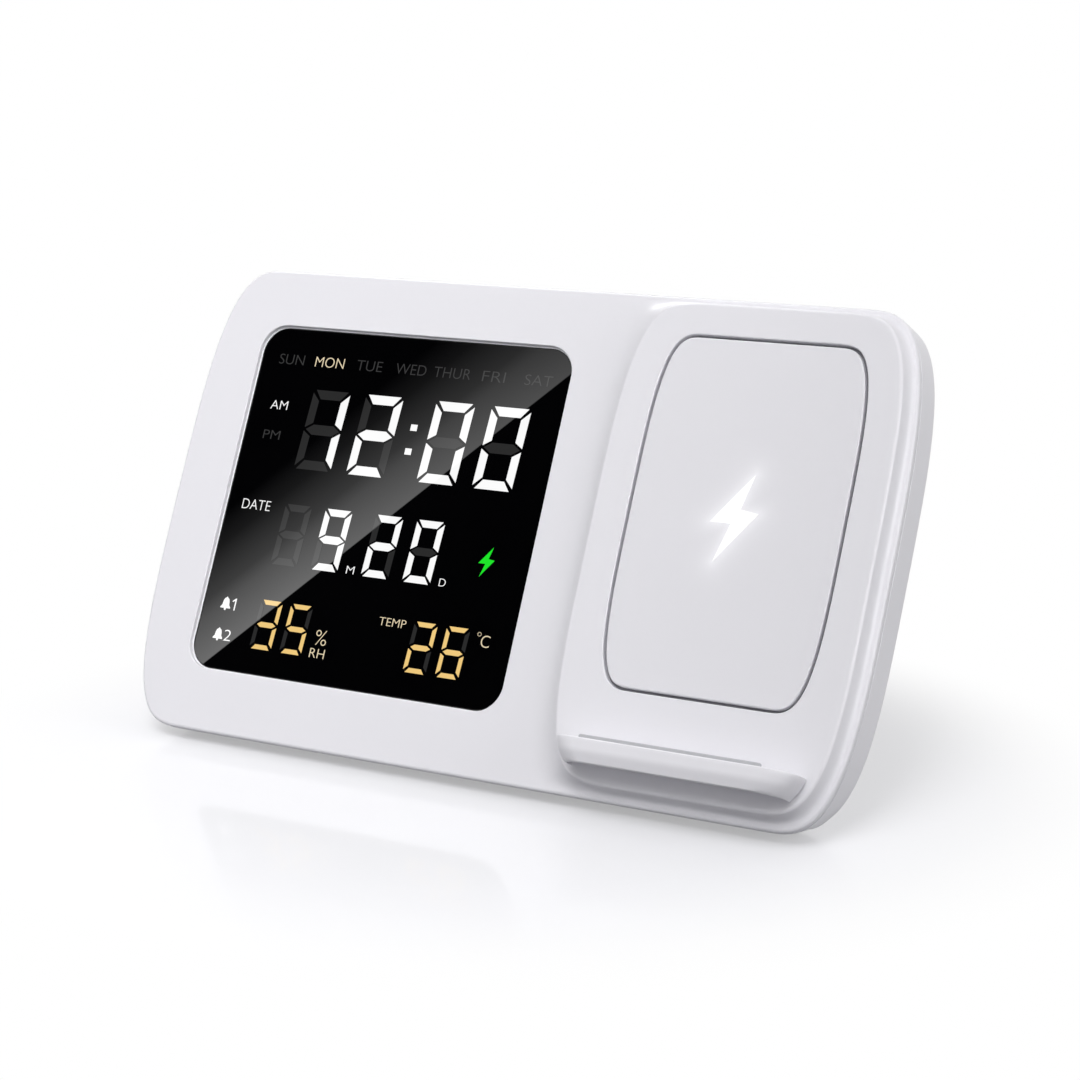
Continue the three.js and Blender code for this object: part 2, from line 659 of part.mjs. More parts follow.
function soundHoles() {
  const holes = [wallCut(BUZZER_X, BUZZER_Y, SOUND_HOLE)];
  for (let i = 0; i < SOUND_HOLES; i += 1) {
    const angle = i / SOUND_HOLES * 2 * Math.PI;
    const x = BUZZER_X + SOUND_RING * Math.cos(angle);
    const y = BUZZER_Y + SOUND_RING * Math.sin(angle);
    holes.push(wallCut(x, y, SOUND_HOLE));
  }
  return holes;
}

function vents() {
  return Array.from({ length: VENT_COUNT }, (_, i) => {
    const y = SENSOR_Y + (i - (VENT_COUNT - 1) / 2) * VENT_PITCH;
    const line = outline({ x: SENSOR_X, y, w: VENT_L, h: VENT_W, corner: VENT_W / 2 });
    return slab(line, REAR_FACE - OVERRUN, REAR_INNER + GAP);
  });
}

const buttonPlaces = BUTTON_NAMES.map((name, i) => {
  const x = (i - (BUTTON_NAMES.length - 1) / 2) * BUTTON_PITCH;
  return { name, x };
});

function rearShell() {
  const well = kickWell();
  const ringTop = REAR_INNER + BUZZER_RING_H;
  const buzzerHole = BUZZER_R + GAP;
  const soundRing = cut(
    rod(BUZZER_X, BUZZER_Y, REAR_INNER - GAP, buzzerHole + BUZZER_RING_WALL, ringTop, FINE_ROUND_STEPS),
    rod(BUZZER_X, BUZZER_Y, REAR_INNER, buzzerHole, ringTop + OVERRUN, FINE_ROUND_STEPS),
  );
  const boardPosts = cornerPlaces(MAIN_BOARD_X, MAIN_BOARD_Y, MAIN_BOARD_W, MAIN_BOARD_H, MAIN_POST_INSET)
    .map(([x, y]) => rod(x, y, REAR_INNER - GAP, MAIN_POST, MAIN_BACK - GAP));
  const pillars = bosses.map(({ x, y }) => rod(x, y, REAR_INNER - GAP, PILLAR_R, bossEnd - GAP));
  const doorPillarTop = DOOR_SEAT + DOOR_BITE + BOSS_FLOOR;
  const shell = join(
    cut(
      loft([...rearRings(0, REAR_FACE, REAR_EDGE, LOWER_EDGE), ring(bodyLine, 0, REAR_TOP)]),
      loft([
        ...rearRings(WALL, REAR_INNER, REAR_INNER_EDGE, LOWER_INNER_EDGE),
        ring(bodyLine, -WALL, LIP_END - GAP),
        ring(bodyLine, -WALL, REAR_TOP + OVERRUN),
      ]),
    ),
    ...pillars,
    ...boardPosts,
    well.walls,
    soundRing,
    slab(doorLine, REAR_INNER - GAP, DOOR_SEAT + DOOR_STEP_THICK, DOOR_STEP_THICK),
    rod(CELL_X, doorScrewY, REAR_INNER, PILLAR_R, doorPillarTop),
  );
  const counterbore = REAR_FACE + COUNTERBORE_DEPTH;
  return cut(
    shell,
    well.hollow,
    slab(doorLine, REAR_FACE - OVERRUN, DOOR_SEAT, GAP),
    rod(CELL_X, CELL_Y, REAR_FACE, holderR + GAP, MAIN_BACK, FINE_ROUND_STEPS),
    rod(CELL_X, doorScrewY, REAR_FACE, SCREW_SHANK + GAP, DOOR_SEAT + DOOR_BITE),
    slab(usbLine, REAR_FACE - OVERRUN, MAIN_BACK, GAP),
    ...bosses.map(({ x, y }) => rod(x, y, REAR_FACE - OVERRUN, SCREW_HEAD + GAP, counterbore)),
    ...bosses.map(({ x, y }) => rod(x, y, REAR_FACE, SCREW_SHANK + GAP, 0)),
    ...buttonPlaces.map(({ x }) => wallCut(x, BUTTON_Y, BUTTON_R + GAP)),
    ...soundHoles(),
    ...vents(),
    ...footPlaces.map((x) => foot(x, GAP)),
  );
}

// Kickstand in the frame of its own axis, drawn folded: the leg runs towards -Y
function kickLeaf() {
  const halfTip = KICK_TIP_W / 2;
  const shape = new THREE.Shape();
  shape.moveTo(-KICK_W / 2, 0);
  shape.lineTo(-halfTip, -KICK_LENGTH + KICK_TIP_CORNER);
  shape.quadraticCurveTo(-halfTip, -KICK_LENGTH, -halfTip + KICK_TIP_CORNER, -KICK_LENGTH);
  shape.lineTo(halfTip - KICK_TIP_CORNER, -KICK_LENGTH);
  shape.quadraticCurveTo(halfTip, -KICK_LENGTH, halfTip, -KICK_LENGTH + KICK_TIP_CORNER);
  shape.lineTo(KICK_W / 2, 0);
  const settings = { depth: KICK_THICK, bevelEnabled: false, curveSegments: EDGE_STEPS };
  return solid(new THREE.ExtrudeGeometry(shape, settings).translate(0, 0, -KICK_BARREL));
}

// Tongue that holds the rubber foot in the end of the leaf
function kickTongue(extra = 0) {
  const low = -KICK_LENGTH - 2 * GAP;
  const high = -KICK_LENGTH + KICK_TONGUE_DEPTH + extra;
  const middle = KICK_INNER - KICK_THICK / 2;
  const half = KICK_TONGUE / 2 + extra;
  return box(0, (low + high) / 2, middle - half, KICK_FOOT_L + 2 * extra, high - low, middle + half);
}

// The heel meets the upper wall of the well when the stand is fully open
function kickstand() {
  const heel = new THREE.BoxGeometry(KICK_W, KICK_HEEL_REACH, 2 * KICK_HEEL_HALF)
    .translate(0, KICK_HEEL_REACH / 2, 0).rotateX(-rad(KICK_OPEN));
  const notchX = (KICK_W + KICK_TIP_W) / 4;
  return cut(
    join(kickLeaf(), crossRod(0, 0, KICK_BARREL, KICK_W), solid(heel)),
    crossRod(0, 0, KICK_PIN + GAP, KICK_W + OVERRUN),
    rod(notchX, -KICK_LENGTH + KICK_NOTCH_UP, -2 * KICK_THICK, KICK_NOTCH, 2 * KICK_THICK),
    kickTongue(GAP),
  );
}

function kickFoot() {
  const top = -KICK_LENGTH - GAP;
  const pad = acrossProfile([
    [top, -KICK_BARREL],
    [-legReach(-KICK_BARREL), -KICK_BARREL],
    [-legReach(KICK_INNER), KICK_INNER],
    [top, KICK_INNER],
  ], KICK_FOOT_L);
  return join(solid(pad), kickTongue());
}

// Upright charging socket, a round-ended shell with a tongue inside
function usbSocket() {
  const low = REAR_FACE + GAP;
  const mouthEnd = low + USB_DEPTH;
  return join(
    cut(slab(usbLine, low, MAIN_BACK - GAP), slab(usbLine, low - OVERRUN, mouthEnd, -USB_SHELL)),
    box(USB_X, USB_Y, low + OVERRUN, USB_TONGUE_W, USB_TONGUE_H, mouthEnd + GAP),
  );
}

function displayFrame() {
  const top = SEAT_END - GAP;
  return cut(
    slab(windowLine, BACKLIGHT_BACK, top, FRAME_RIM),
    slab(windowLine, BACKLIGHT_BACK - OVERRUN, top + OVERRUN, -SEAT_WIDTH),
  );
}

function climateSensor() {
  const low = REAR_INNER + GAP;
  const board = low + SENSOR_CHIP_THICK;
  return join(
    box(SENSOR_X, SENSOR_Y, low, SENSOR_CHIP, SENSOR_CHIP, board + SENSOR_BOARD / 2),
    box(SENSOR_X, SENSOR_Y, board, SENSOR_SIZE, SENSOR_SIZE, board + SENSOR_BOARD),
  );
}

function button(x) {
  const rimTop = BUTTON_RIM_Z + BUTTON_RIM_THICK;
  return join(
    rod(x, BUTTON_Y, REAR_FACE - BUTTON_PROUD, BUTTON_R, rimTop),
    rod(x, BUTTON_Y, BUTTON_RIM_Z, BUTTON_R + BUTTON_RIM, rimTop),
  );
}

// Scene graph: the casing leans back, and the kickstand hangs in it on its own axis
const clock = new THREE.Group();
const casing = new THREE.Group();
casing.rotation.x = rad(90 - LEAN);
clock.add(casing);
const kick = new THREE.Group();
kick.position.set(0, KICK_HINGE_Y, KICK_HINGE_Z);
kick.rotation.x = rad(KICK_OPEN);
casing.add(kick);

function add(name, body, material, group = casing) {
  const mesh = new THREE.Mesh(geometryOf(body), material);
  mesh.name = name;
  group.add(mesh);
}

function addShells() {
  add('front_shell', frontShell(), WHITE_ABS);
  add('rear_shell', rearShell(), WHITE_ABS);
  bosses.forEach(({ x, y, top }, i) => {
    const body = screw({
      x,
      y,
      low: REAR_FACE + COUNTERBORE_DEPTH - GAP - SCREW_HEAD_THICK,
      head: SCREW_HEAD,
      headThick: SCREW_HEAD_THICK,
      shank: SCREW_SHANK,
      tip: top - BOSS_FLOOR - GAP,
    });
    add(`shell_screw_${i + 1}`, body, STEEL);
  });
  add('foot_left', foot(footPlaces[0]), PALE_RUBBER);
  add('foot_right', foot(footPlaces[1]), PALE_RUBBER);
}

function addDisplay() {
  const inOpening = (back, thick) => slab(windowLine, back, back + thick, -SEAT_WIDTH - GAP);
  add('display_lens', slab(windowLine, LENS_BACK, -LENS_SET_BACK, -GAP), BLACK_LENS);
  add('lcd_panel', inOpening(LCD_BACK, LCD_THICK), LCD_GLASS);
  add('backlight_diffuser', inOpening(DIFFUSER_BACK, DIFFUSER_THICK), CLEAR_ACRYLIC);
  add('backlight_board', inOpening(BACKLIGHT_BACK, BACKLIGHT_THICK), CIRCUIT_BOARD);
  add('display_frame', displayFrame(), BLACK_PLASTIC);
}

function addCharger() {
  const disc = (r, low, high) => rod(PLATFORM_X, PANEL_Y, low, r, high, FINE_ROUND_STEPS);
  const coilLow = COIL_TOP - COIL_THICK;
  const ferriteR = COIL_OUTER / 2 + FERRITE_MARGIN;
  const boardLow = FERRITE_TOP + GAP;
  const boardTop = boardLow + LED_BOARD_THICK;
  const guideR = LIGHT_HOLE / 2 - GAP;
  const carrierLine = outline({
    x: PLATFORM_X,
    y: PANEL_Y,
    w: CARRIER_W,
    h: CARRIER_H,
    corner: CARRIER_CORNER,
  });
  const coil = cut(
    disc(COIL_OUTER / 2, coilLow, COIL_TOP),
    disc(COIL_INNER / 2, coilLow - OVERRUN, RECESS_Z),
  );
  add('charging_panel', slab(panelLine, PLATFORM_RISE - PANEL_THICK, PLATFORM_RISE), WHITE_PANEL);
  add('charging_coil', coil, COPPER);
  add('ferrite_sheet', disc(ferriteR, FERRITE_TOP - FERRITE_THICK, FERRITE_TOP), FERRITE);
  add('coil_carrier', slab(carrierLine, CARRIER_TOP - CARRIER_THICK, CARRIER_TOP), BLACK_PLASTIC);
  add('charge_led_board', disc(guideR, boardLow, boardTop), CIRCUIT_BOARD);
  add('charge_light_guide', disc(guideR, boardTop + GAP, RECESS_Z), CLEAR_ACRYLIC);
}

function addLedge() {
  add('phone_ledge', phoneLedge(), WHITE_ABS);
  add('grip_strip', gripStrip(), GREY_SILICONE);
  ledgeScrewPlaces.forEach((x, i) => {
    const body = screw({
      x,
      y: LEDGE_MIDDLE,
      low: SKIN_UNDER - GAP - SCREW_HEAD_THICK,
      head: LEDGE_SCREW_HEAD,
      headThick: SCREW_HEAD_THICK,
      shank: LEDGE_SCREW_SHANK,
      tip: LEDGE_BACK + LEDGE_SCREW_BITE,
    });
    add(`ledge_screw_${i + 1}`, body, STEEL);
  });
}

function addElectronics() {
  const board = box(MAIN_BOARD_X, MAIN_BOARD_Y, MAIN_BACK, MAIN_BOARD_W, MAIN_BOARD_H, MAIN_TOP);
  const cell = rod(CELL_X, CELL_Y, CELL_TOP - CELL_THICK, CELL_R, CELL_TOP, FINE_ROUND_STEPS);
  const buzzerLow = REAR_INNER + GAP;
  const buzzer = rod(BUZZER_X, BUZZER_Y, buzzerLow, BUZZER_R, buzzerLow + BUZZER_THICK, FINE_ROUND_STEPS);
  add('main_board', board, CIRCUIT_BOARD);
  add('usb_socket', usbSocket(), STEEL);
  add('cell_holder', cellHolder(), BLACK_PLASTIC);
  add('backup_cell', cell, STEEL);
  add('buzzer', buzzer, BLACK_PLASTIC);
  add('climate_sensor', climateSensor(), CIRCUIT_BOARD);
  add('battery_door', batteryDoor(), WHITE_ABS);
  add('battery_door_screw', screw({
    x: CELL_X,
    y: doorScrewY,
    low: REAR_FACE + DOOR_COUNTERBORE - GAP - DOOR_HEAD_THICK,
    head: SCREW_HEAD,
    headThick: DOOR_HEAD_THICK,
    shank: SCREW_SHANK,
    tip: DOOR_SEAT + DOOR_BITE - GAP,
  }), STEEL);
}

function addButtons() {
  const boardL = (BUTTON_NAMES.length - 1) * BUTTON_PITCH + 2 * BUTTON_BOARD_END;
  const boardTop = BUTTON_BOARD_Z + BUTTON_BOARD_THICK;
  add('button_board', box(0, BUTTON_Y, BUTTON_BOARD_Z, boardL, BUTTON_BOARD_W, boardTop), CIRCUIT_BOARD);
  buttonPlaces.forEach(({ name, x }, i) => {
    const body = box(x, BUTTON_Y, SWITCH_Z, SWITCH_SIZE, SWITCH_SIZE, SWITCH_Z + SWITCH_THICK);
    add(name, button(x), WHITE_ABS);
    add(`switch_${i + 1}`, body, STEEL);
  });
}

function addKickstand() {
  add('kickstand', kickstand(), WHITE_ABS, kick);
  add('kickstand_foot', kickFoot(), PALE_RUBBER, kick);
  add('kickstand_pin', crossRod(KICK_HINGE_Y, KICK_HINGE_Z, KICK_PIN, PIN_L), STEEL);
}

addShells();
addDisplay();
addCharger();
addLedge();
addElectronics();
addButtons();
addKickstand();

// The part stands on its base, with the origin at the bottom centre of its box
const bounds = new THREE.Box3().setFromObject(clock, true);
const centre = bounds.getCenter(new THREE.Vector3());
casing.position.set(-centre.x, -centre.y, -bounds.min.z);
clock.updateMatrixWorld(true);

export default clock;
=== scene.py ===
"""Digital alarm clock with a charging platform and a phone ledge, dressed on its CAD frame.

Every piece is drawn in the casing's own axes, in millimetres: X runs right, Y runs up the front
face and Z out of it. The casing's lean then turns the finished mesh into the clock's place.
"""

import json
import logging
import math
from collections.abc import Iterable, Sequence
from dataclasses import dataclass, replace
from enum import Enum
from functools import cached_property

import bmesh
import bpy
from mathutils import Matrix, Vector


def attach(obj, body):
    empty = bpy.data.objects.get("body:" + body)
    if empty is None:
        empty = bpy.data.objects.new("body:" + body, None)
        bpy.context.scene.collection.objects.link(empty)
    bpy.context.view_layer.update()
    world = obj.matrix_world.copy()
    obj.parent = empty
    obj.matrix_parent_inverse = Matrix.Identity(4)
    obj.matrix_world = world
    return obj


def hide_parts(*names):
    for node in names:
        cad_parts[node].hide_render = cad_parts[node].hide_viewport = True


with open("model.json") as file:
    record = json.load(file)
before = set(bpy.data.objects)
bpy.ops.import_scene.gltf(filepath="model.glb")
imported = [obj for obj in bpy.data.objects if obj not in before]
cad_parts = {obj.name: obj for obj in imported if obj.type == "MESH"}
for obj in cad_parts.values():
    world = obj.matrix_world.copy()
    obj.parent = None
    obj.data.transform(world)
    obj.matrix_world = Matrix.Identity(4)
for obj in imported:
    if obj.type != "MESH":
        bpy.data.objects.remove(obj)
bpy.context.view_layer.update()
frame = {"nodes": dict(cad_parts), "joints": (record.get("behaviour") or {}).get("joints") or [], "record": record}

log = logging.getLogger("clock")

# Metres in a millimetre, the unit of every drawing.
MM = 0.001
# Points closer than this are one point.
SAME_POINT = 0.002
# Edges in each quarter of the casing's outlines.
QUARTER_STEPS = 28
# Degrees past which an edge stays sharp.
SHARP_ANGLE = 32
# Flat strip beside a small radius, which keeps its shading clean.
SUPPORT = 0.08
# Small flat on an edge that is not seen.
CHAMFER = 0.1
# The platform's face above the casing's front face.
PLATFORM_RISE = 3.5
# Edges in a letter's curve, and how far its strokes are thinned, as a share of its height.
LETTER_STEPS = 5
LETTER_THIN = -0.014
# Bodies of the CAD that the pieces ride on.
BODY = "casing"
STAND = "stand"

Pair = tuple[float, float]
Path = Sequence[Pair]
Place = tuple[float, float, float]
Colour = tuple[float, float, float, float]
Ring = Sequence[Vector]
Edges = list[bmesh.types.BMEdge]

# Corners of the charging bolt, as shares of its box.
BOLT = ((0.78, 1.0), (0.0, 0.437), (0.453, 0.438), (0.223, 0.0), (1.0, 0.573), (0.6, 0.602))
# Corners of the display's small numeral one, in millimetres.
ONE = ((0.62, 0.0), (0.92, 0.0), (0.92, 2.55), (0.68, 2.55), (0.0, 2.02), (0.0, 1.7), (0.62, 2.06))


def smooth(share: float) -> float:
    """Share of the way from zero to one, held between them and eased at both ends."""
    t = min(max(share, 0), 1)
    return t * t * (3 - 2 * t)


@dataclass(frozen=True)
class Outline:
    """A rectangle with soft corners, in millimetres.

    Its corners are round, but with a power above two each end is one superellipse that runs the
    whole height, as a moulded case has.
    """

    x: float
    y: float
    w: float
    h: float
    corner: float
    power: float = 2.0
    steps: int = QUARTER_STEPS

    @classmethod
    def of_circle(cls, x: float, y: float, radius: float, steps: int = 12) -> "Outline":
        """A circle.

        Args:
            x: Centre to the right.
            y: Centre upwards.
            radius: Radius.
            steps: Edges in each quarter.

        Returns:
            The circle's outline.
        """
        return cls(x, y, 2 * radius, 2 * radius, radius, 2.0, steps)

    @cached_property
    def stations(self) -> tuple[tuple[Vector, Vector], ...]:
        """Points round the outline, each with its outward normal.

        Returns:
            The (point, normal) pairs, in order.
        """
        end_h = self.corner if self.power == 2.0 else self.h / 2
        bend = 2 / self.power
        found: list[tuple[Vector, Vector]] = []
        for quarter, (sx, sy) in enumerate(((1, 1), (-1, 1), (-1, -1), (1, -1))):
            for step in range(self.steps + 1):
                angle = (quarter + step / self.steps) * math.pi / 2
                across, up = abs(math.cos(angle)), abs(math.sin(angle))
                point = Vector((
                    self.x + sx * (self.w / 2 - self.corner + self.corner * across**bend),
                    self.y + sy * (self.h / 2 - end_h + end_h * up**bend),
                ))
                lie = (sx * across ** (2 - bend) / self.corner, sy * up ** (2 - bend) / end_h)
                if not found or (point - found[-1][0]).length > SAME_POINT:
                    found.append((point, Vector(lie).normalized()))
        if (found[0][0] - found[-1][0]).length <= SAME_POINT:
            found.pop()
        return tuple(found)

    def ring(self, out: float, level: float) -> Ring:
        """The outline pushed out by a distance, at one level."""
        rise = Vector((0, 0, level))
        return [(point + normal * out).to_3d() + rise for point, normal in self.stations]

    def rings(self, path: Iterable[Pair]) -> list[Ring]:
        """The outline at each (out, level) of a path."""
        return [self.ring(out, level) for out, level in path]

    def blended(self, path: Path, lower: Path, haste: float = 1.5) -> list[Ring]:
        """Rings that follow one (out, level) path, and another one along the lower side.

        Args:
            path: Path of the upper side and the ends.
            lower: Path of the lower side, with as many points.
            haste: How soon the lower path takes over where the outline turns down.

        Returns:
            The rings.
        """
        rings = []
        for (out, level), (low_out, low_level) in zip(path, lower, strict=True):
            ring = []
            for point, normal in self.stations:
                share = smooth(-normal.y * haste)
                place = point + normal * (out + (low_out - out) * share)
                ring.append(place.to_3d() + Vector((0, 0, level + (low_level - level) * share)))
            rings.append(ring)
        return rings

    def half_width(self, y: float) -> float:
        """Half the width of a superellipse outline at a height, or zero past its ends."""
        share = min(abs(y - self.y) / (self.h / 2), 1)
        return self.w / 2 - self.corner + self.corner * (1 - share**self.power) ** (1 / self.power)


def arc(out: float, level: float, radius: float, start: float, end: float, steps: int) -> Path:
    """Points of an arc in the (out, level) plane.

    Args:
        out: Centre, outwards from the outline.
        level: Centre's level.
        radius: Radius.
        start: First angle in degrees, where 0 is outwards and 90 is to the front.
        end: Last angle in degrees.
        steps: Edges in the arc.

    Returns:
        The (out, level) points.
    """
    turns = (math.radians(start + (end - start) * step / steps) for step in range(steps + 1))
    return [(out + radius * math.cos(turn), level + radius * math.sin(turn)) for turn in turns]


class Sketch:
    """A bmesh in millimetres that is drawn ring by ring."""

    def __init__(self) -> None:
        """Starts an empty drawing."""
        self.bm = bmesh.new()
        self.station = self.bm.verts.layers.int.new("station")

    def loop(self, ring: Ring) -> Edges:
        """Starts a closed line on a ring.

        Args:
            ring: Points in order.

        Returns:
            The line's edges, always in the same order, on which a fill depends.
        """
        made = bmesh.ops.create_circle(self.bm, segments=len(ring), radius=1)["verts"]
        made.sort(key=lambda vert: (math.atan2(vert.co.x, vert.co.y) + SAME_POINT) % math.tau)
        for index, vert in enumerate(made):
            vert[self.station] = index
            vert.co = ring[index]
        return list(dict.fromkeys(edge for vert in made for edge in vert.link_edges))

    def sweep(self, edges: Edges, rings: Iterable[Ring]) -> Edges:
        """Extrudes a closed line through rings of the same count.

        Args:
            edges: The line to start from.
            rings: Rings in order.

        Returns:
            The edges of the last ring.
        """
        for ring in rings:
            made = bmesh.ops.extrude_edge_only(self.bm, edges=edges)["geom"]
            edges = [item for item in made if isinstance(item, bmesh.types.BMEdge)]
            for vert in (item for item in made if isinstance(item, bmesh.types.BMVert)):
                vert.co = ring[vert[self.station]]
        return edges

    def fill(self, *loops: Edges) -> None:
        """Fills the flat area inside the first closed line and outside the others."""
        edges = [edge for loop in loops for edge in loop]
        bmesh.ops.triangle_fill(self.bm, use_beauty=True, use_dissolve=False, edges=edges)

    def tube(self, line: Outline, path: Path) -> tuple[Edges, Edges]:
        """Open walls that follow an outline along a path.

        Args:
            line: The outline.
            path: The (out, level) points.

        Returns:
            Edges of the first ring and of the last.
        """
        first = self.loop(line.ring(*path[0]))
        return first, self.sweep(first, line.rings(path[1:]))

    def tower(self, line: Outline, path: Path) -> None:
        """A closed solid that follows an outline along a path, capped at both ends."""
        for end in self.tube(line, path):
            self.fill(end)

    def band(self, line: Outline, path: Path) -> None:
        """A closed section of (out, level) points that runs round an outline."""
        self.tube(line, [*path, path[0]])

    def prism(self, points: Iterable[Pair], low: float, high: float) -> None:
        """A closed upright prism over a polygon.

        Args:
            points: Corners of the polygon.
            low: Lowest level.
            high: Highest level.
        """
        base = self.bm.faces.new([self.bm.verts.new((x, y, low)) for x, y in points])
        made = bmesh.ops.extrude_face_region(self.bm, geom=[base])["geom"]
        verts = [item for item in made if isinstance(item, bmesh.types.BMVert)]
        bmesh.ops.translate(self.bm, verts=verts, vec=(0, 0, high - low))

    def bevel(self, edges: Edges, width: float, segments: int) -> None:
        """Rounds edges over, in a number of steps."""
        bmesh.ops.bevel(
            self.bm, geom=edges, offset=width, offset_type="OFFSET", segments=segments,
            profile=0.5, affect="EDGES", clamp_overlap=True, material=-1,
        )

    def soften(self, width: float, segments: int, angle: float) -> None:
        """Rounds every edge that turns by more than an angle in degrees.

        Args:
            width: Width of the rounding.
            segments: Steps in it.
            angle: Least angle in degrees.
        """
        edges = dict.fromkeys(edge for vert in self.bm.verts for edge in vert.link_edges)
        turn = math.radians(angle)
        joining = (edge for edge in edges if len(edge.link_faces) == 2)
        self.bevel([edge for edge in joining if edge.calc_face_angle() > turn], width, segments)

    def cut(self, point: Place, normal: Place) -> None:
        """Cuts away what lies past a plane, and closes the cut.

        Args:
            point: A point of the plane.
            normal: Direction of what is cut away.
        """
        bm = self.bm
        bmesh.ops.bisect_plane(
            bm, geom=[*bm.verts, *bm.edges, *bm.faces], clear_outer=True,
            plane_co=point, plane_no=normal,
        )
        bmesh.ops.holes_fill(bm, edges=[edge for edge in bm.edges if edge.is_boundary])


@dataclass(frozen=True)
class CasingFrame:
    """Where the casing's own axes lie in the clock's frame."""

    origin: Vector
    lean: float

    @classmethod
    def from_cad(cls) -> "CasingFrame":
        """Finds the axes from a button's press direction and the boxes of two nodes.

        Returns:
            The axes.
        """
        press = next(joint for joint in frame["joints"] if joint["type"] == "slide")
        lean = math.asin(press["axis"][2])
        level = cls(Vector((0, 0, 0)), lean)
        face = level.box("charging_panel")[1].z - PLATFORM_RISE
        return cls(level.matrix @ Vector((*level.middle("rear_shell"), face)), lean)

    @property
    def matrix(self) -> Matrix:
        """Turns casing millimetres into the clock's metres."""
        return (
            Matrix.Translation(self.origin)
            @ Matrix.Rotation(math.pi / 2 - self.lean, 4, "X")
            @ Matrix.Scale(MM, 4)
        )

    def box(self, node: str, place: Matrix | None = None) -> tuple[Vector, Vector]:
        """Box of a CAD node in the casing's axes, in millimetres.

        Args:
            node: Name of the CAD node.
            place: Axes to use in place of the casing's.

        Returns:
            Lowest and highest corner.
        """
        back = (place or self.matrix).inverted()
        points = [back @ vert.co for vert in frame["nodes"][node].data.vertices]
        low = Vector([min(point[axis] for point in points) for axis in range(3)])
        high = Vector([max(point[axis] for point in points) for axis in range(3)])
        return low, high

    def middle(self, node: str) -> Pair:
        """Centre of a CAD node's box, to the right and upwards."""
        low, high = self.box(node)
        return (low.x + high.x) / 2, (low.y + high.y) / 2


def linear(code: str, share: float = 1.0) -> Colour:
    """Turns an sRGB hex colour into a linear one.

    Args:
        code: Six hex digits.
        share: Share of the colour's light that is kept.

    Returns:
        Linear red, green, blue and alpha.
    """
    parts = (int(code[i:i + 2], 16) / 255 for i in (0, 2, 4))
    red, green, blue = (p / 12.92 if p <= 0.04045 else ((p + 0.055) / 1.055) ** 2.4 for p in parts)
    return red * share, green * share, blue * share, 1.0


def add_object(name: str, data: bpy.types.ID) -> bpy.types.Object:
    """Adds an object to the scene.

    Args:
        name: Its name.
        data: Its mesh, curve, camera or lamp.

    Returns:
        The object.
    """
    made = bpy.data.objects.new(name, data)
    bpy.context.scene.collection.objects.link(made)
    return made


def evaluated_mesh(holder: bpy.types.Object) -> bpy.types.Mesh:
    """Mesh of an object with its modifiers or its curve's outline worked out."""
    bpy.context.view_layer.update()
    return bpy.data.meshes.new_from_object(
        holder.evaluated_get(bpy.context.evaluated_depsgraph_get())
    )


def add_node(
    material: bpy.types.Material | bpy.types.World,
    kind: str,
    settings: dict | None = None,
    values: dict | None = None,
    links: dict | None = None,
) -> bpy.types.Node:
    """Adds a shader node.

    Args:
        material: Material or world that takes the node.
        kind: Blender's name of the node, without its ShaderNode.
        settings: Attributes to set.
        values: Constant of each named or numbered input.
        links: For each input, the (node, output) that drives it.

    Returns:
        The new node.
    """
    tree = material.node_tree
    node = tree.nodes.new(f"ShaderNode{kind}")
    for name, value in (settings or {}).items():
        setattr(node, name, value)
    for name, value in (values or {}).items():
        node.inputs[name].default_value = value
    for name, (source, output) in (links or {}).items():
        tree.links.new(source.outputs[output], node.inputs[name])
    return node


def new_material(name: str) -> bpy.types.Material:
    """An empty node material.

    Args:
        name: Its name.

    Returns:
        The material.
    """
    material = bpy.data.materials.new(name)
    material.use_nodes = True
    material.node_tree.nodes.clear()
    return material


def per_metre(size_mm: float) -> float:
    """Texture scale that repeats a pattern once in so many millimetres."""
    return 1 / (size_mm * MM)


@dataclass(frozen=True)
class MouldedPlastic:
    """Injection-moulded plastic or rubber with a fine spark-eroded grain.

    The eye sees an even body colour, a soft wide sheen and a grain that breaks up highlights.
    The real grain of 0.05 to 0.1 mm is drawn a little coarser so that it shows.
    """

    name: str
    colour: str
    roughness: float
    grain_mm: float = 0.35
    grain_depth: float = 0.06
    specular: float = 0.5
    ior: float = 1.5
    flow_mm: float = 25.0
    uneven: float = 0.03
    shade: float = 0.975

    def material(self) -> bpy.types.Material:
        """Builds the material.

        Returns:
            The material.
        """
        made = new_material(self.name)
        place = add_node(made, "TexCoord")
        grain = add_node(
            made, "TexNoise",
            values={"Scale": per_metre(self.grain_mm), "Detail": 2.0, "Roughness": 0.6},
            links={"Vector": (place, "Object")},
        )
        flow = add_node(
            made, "TexNoise",
            values={"Scale": per_metre(self.flow_mm), "Detail": 1.0},
            links={"Vector": (place, "Object")},
        )
        sheen = add_node(
            made, "MapRange",
            values={
                "From Min": 0.3, "From Max": 0.7,
                "To Min": self.roughness - self.uneven, "To Max": self.roughness + self.uneven,
            },
            links={"Value": (flow, "Fac")},
        )
        tone = add_node(
            made, "Mix", {"data_type": "RGBA"},
            values={6: linear(self.colour), 7: linear(self.colour, self.shade)},
            links={0: (flow, "Fac")},
        )
        bump = add_node(
            made, "Bump",
            values={"Strength": self.grain_depth, "Distance": 0.05 * MM},
            links={"Height": (grain, "Fac")},
        )
        shader = add_node(
            made, "BsdfPrincipled",
            values={"IOR": self.ior, "Specular IOR Level": self.specular},
            links={
                "Base Color": (tone, 2), "Roughness": (sheen, "Result"), "Normal": (bump, "Normal"),
            },
        )
        add_node(made, "OutputMaterial", links={"Surface": (shader, "BSDF")})
        return made

    def shader_of(self, made: bpy.types.Material) -> bpy.types.Node:
        """The principled shader of the plastic's material."""
        return next(node for node in made.node_tree.nodes if node.type == "BSDF_PRINCIPLED")


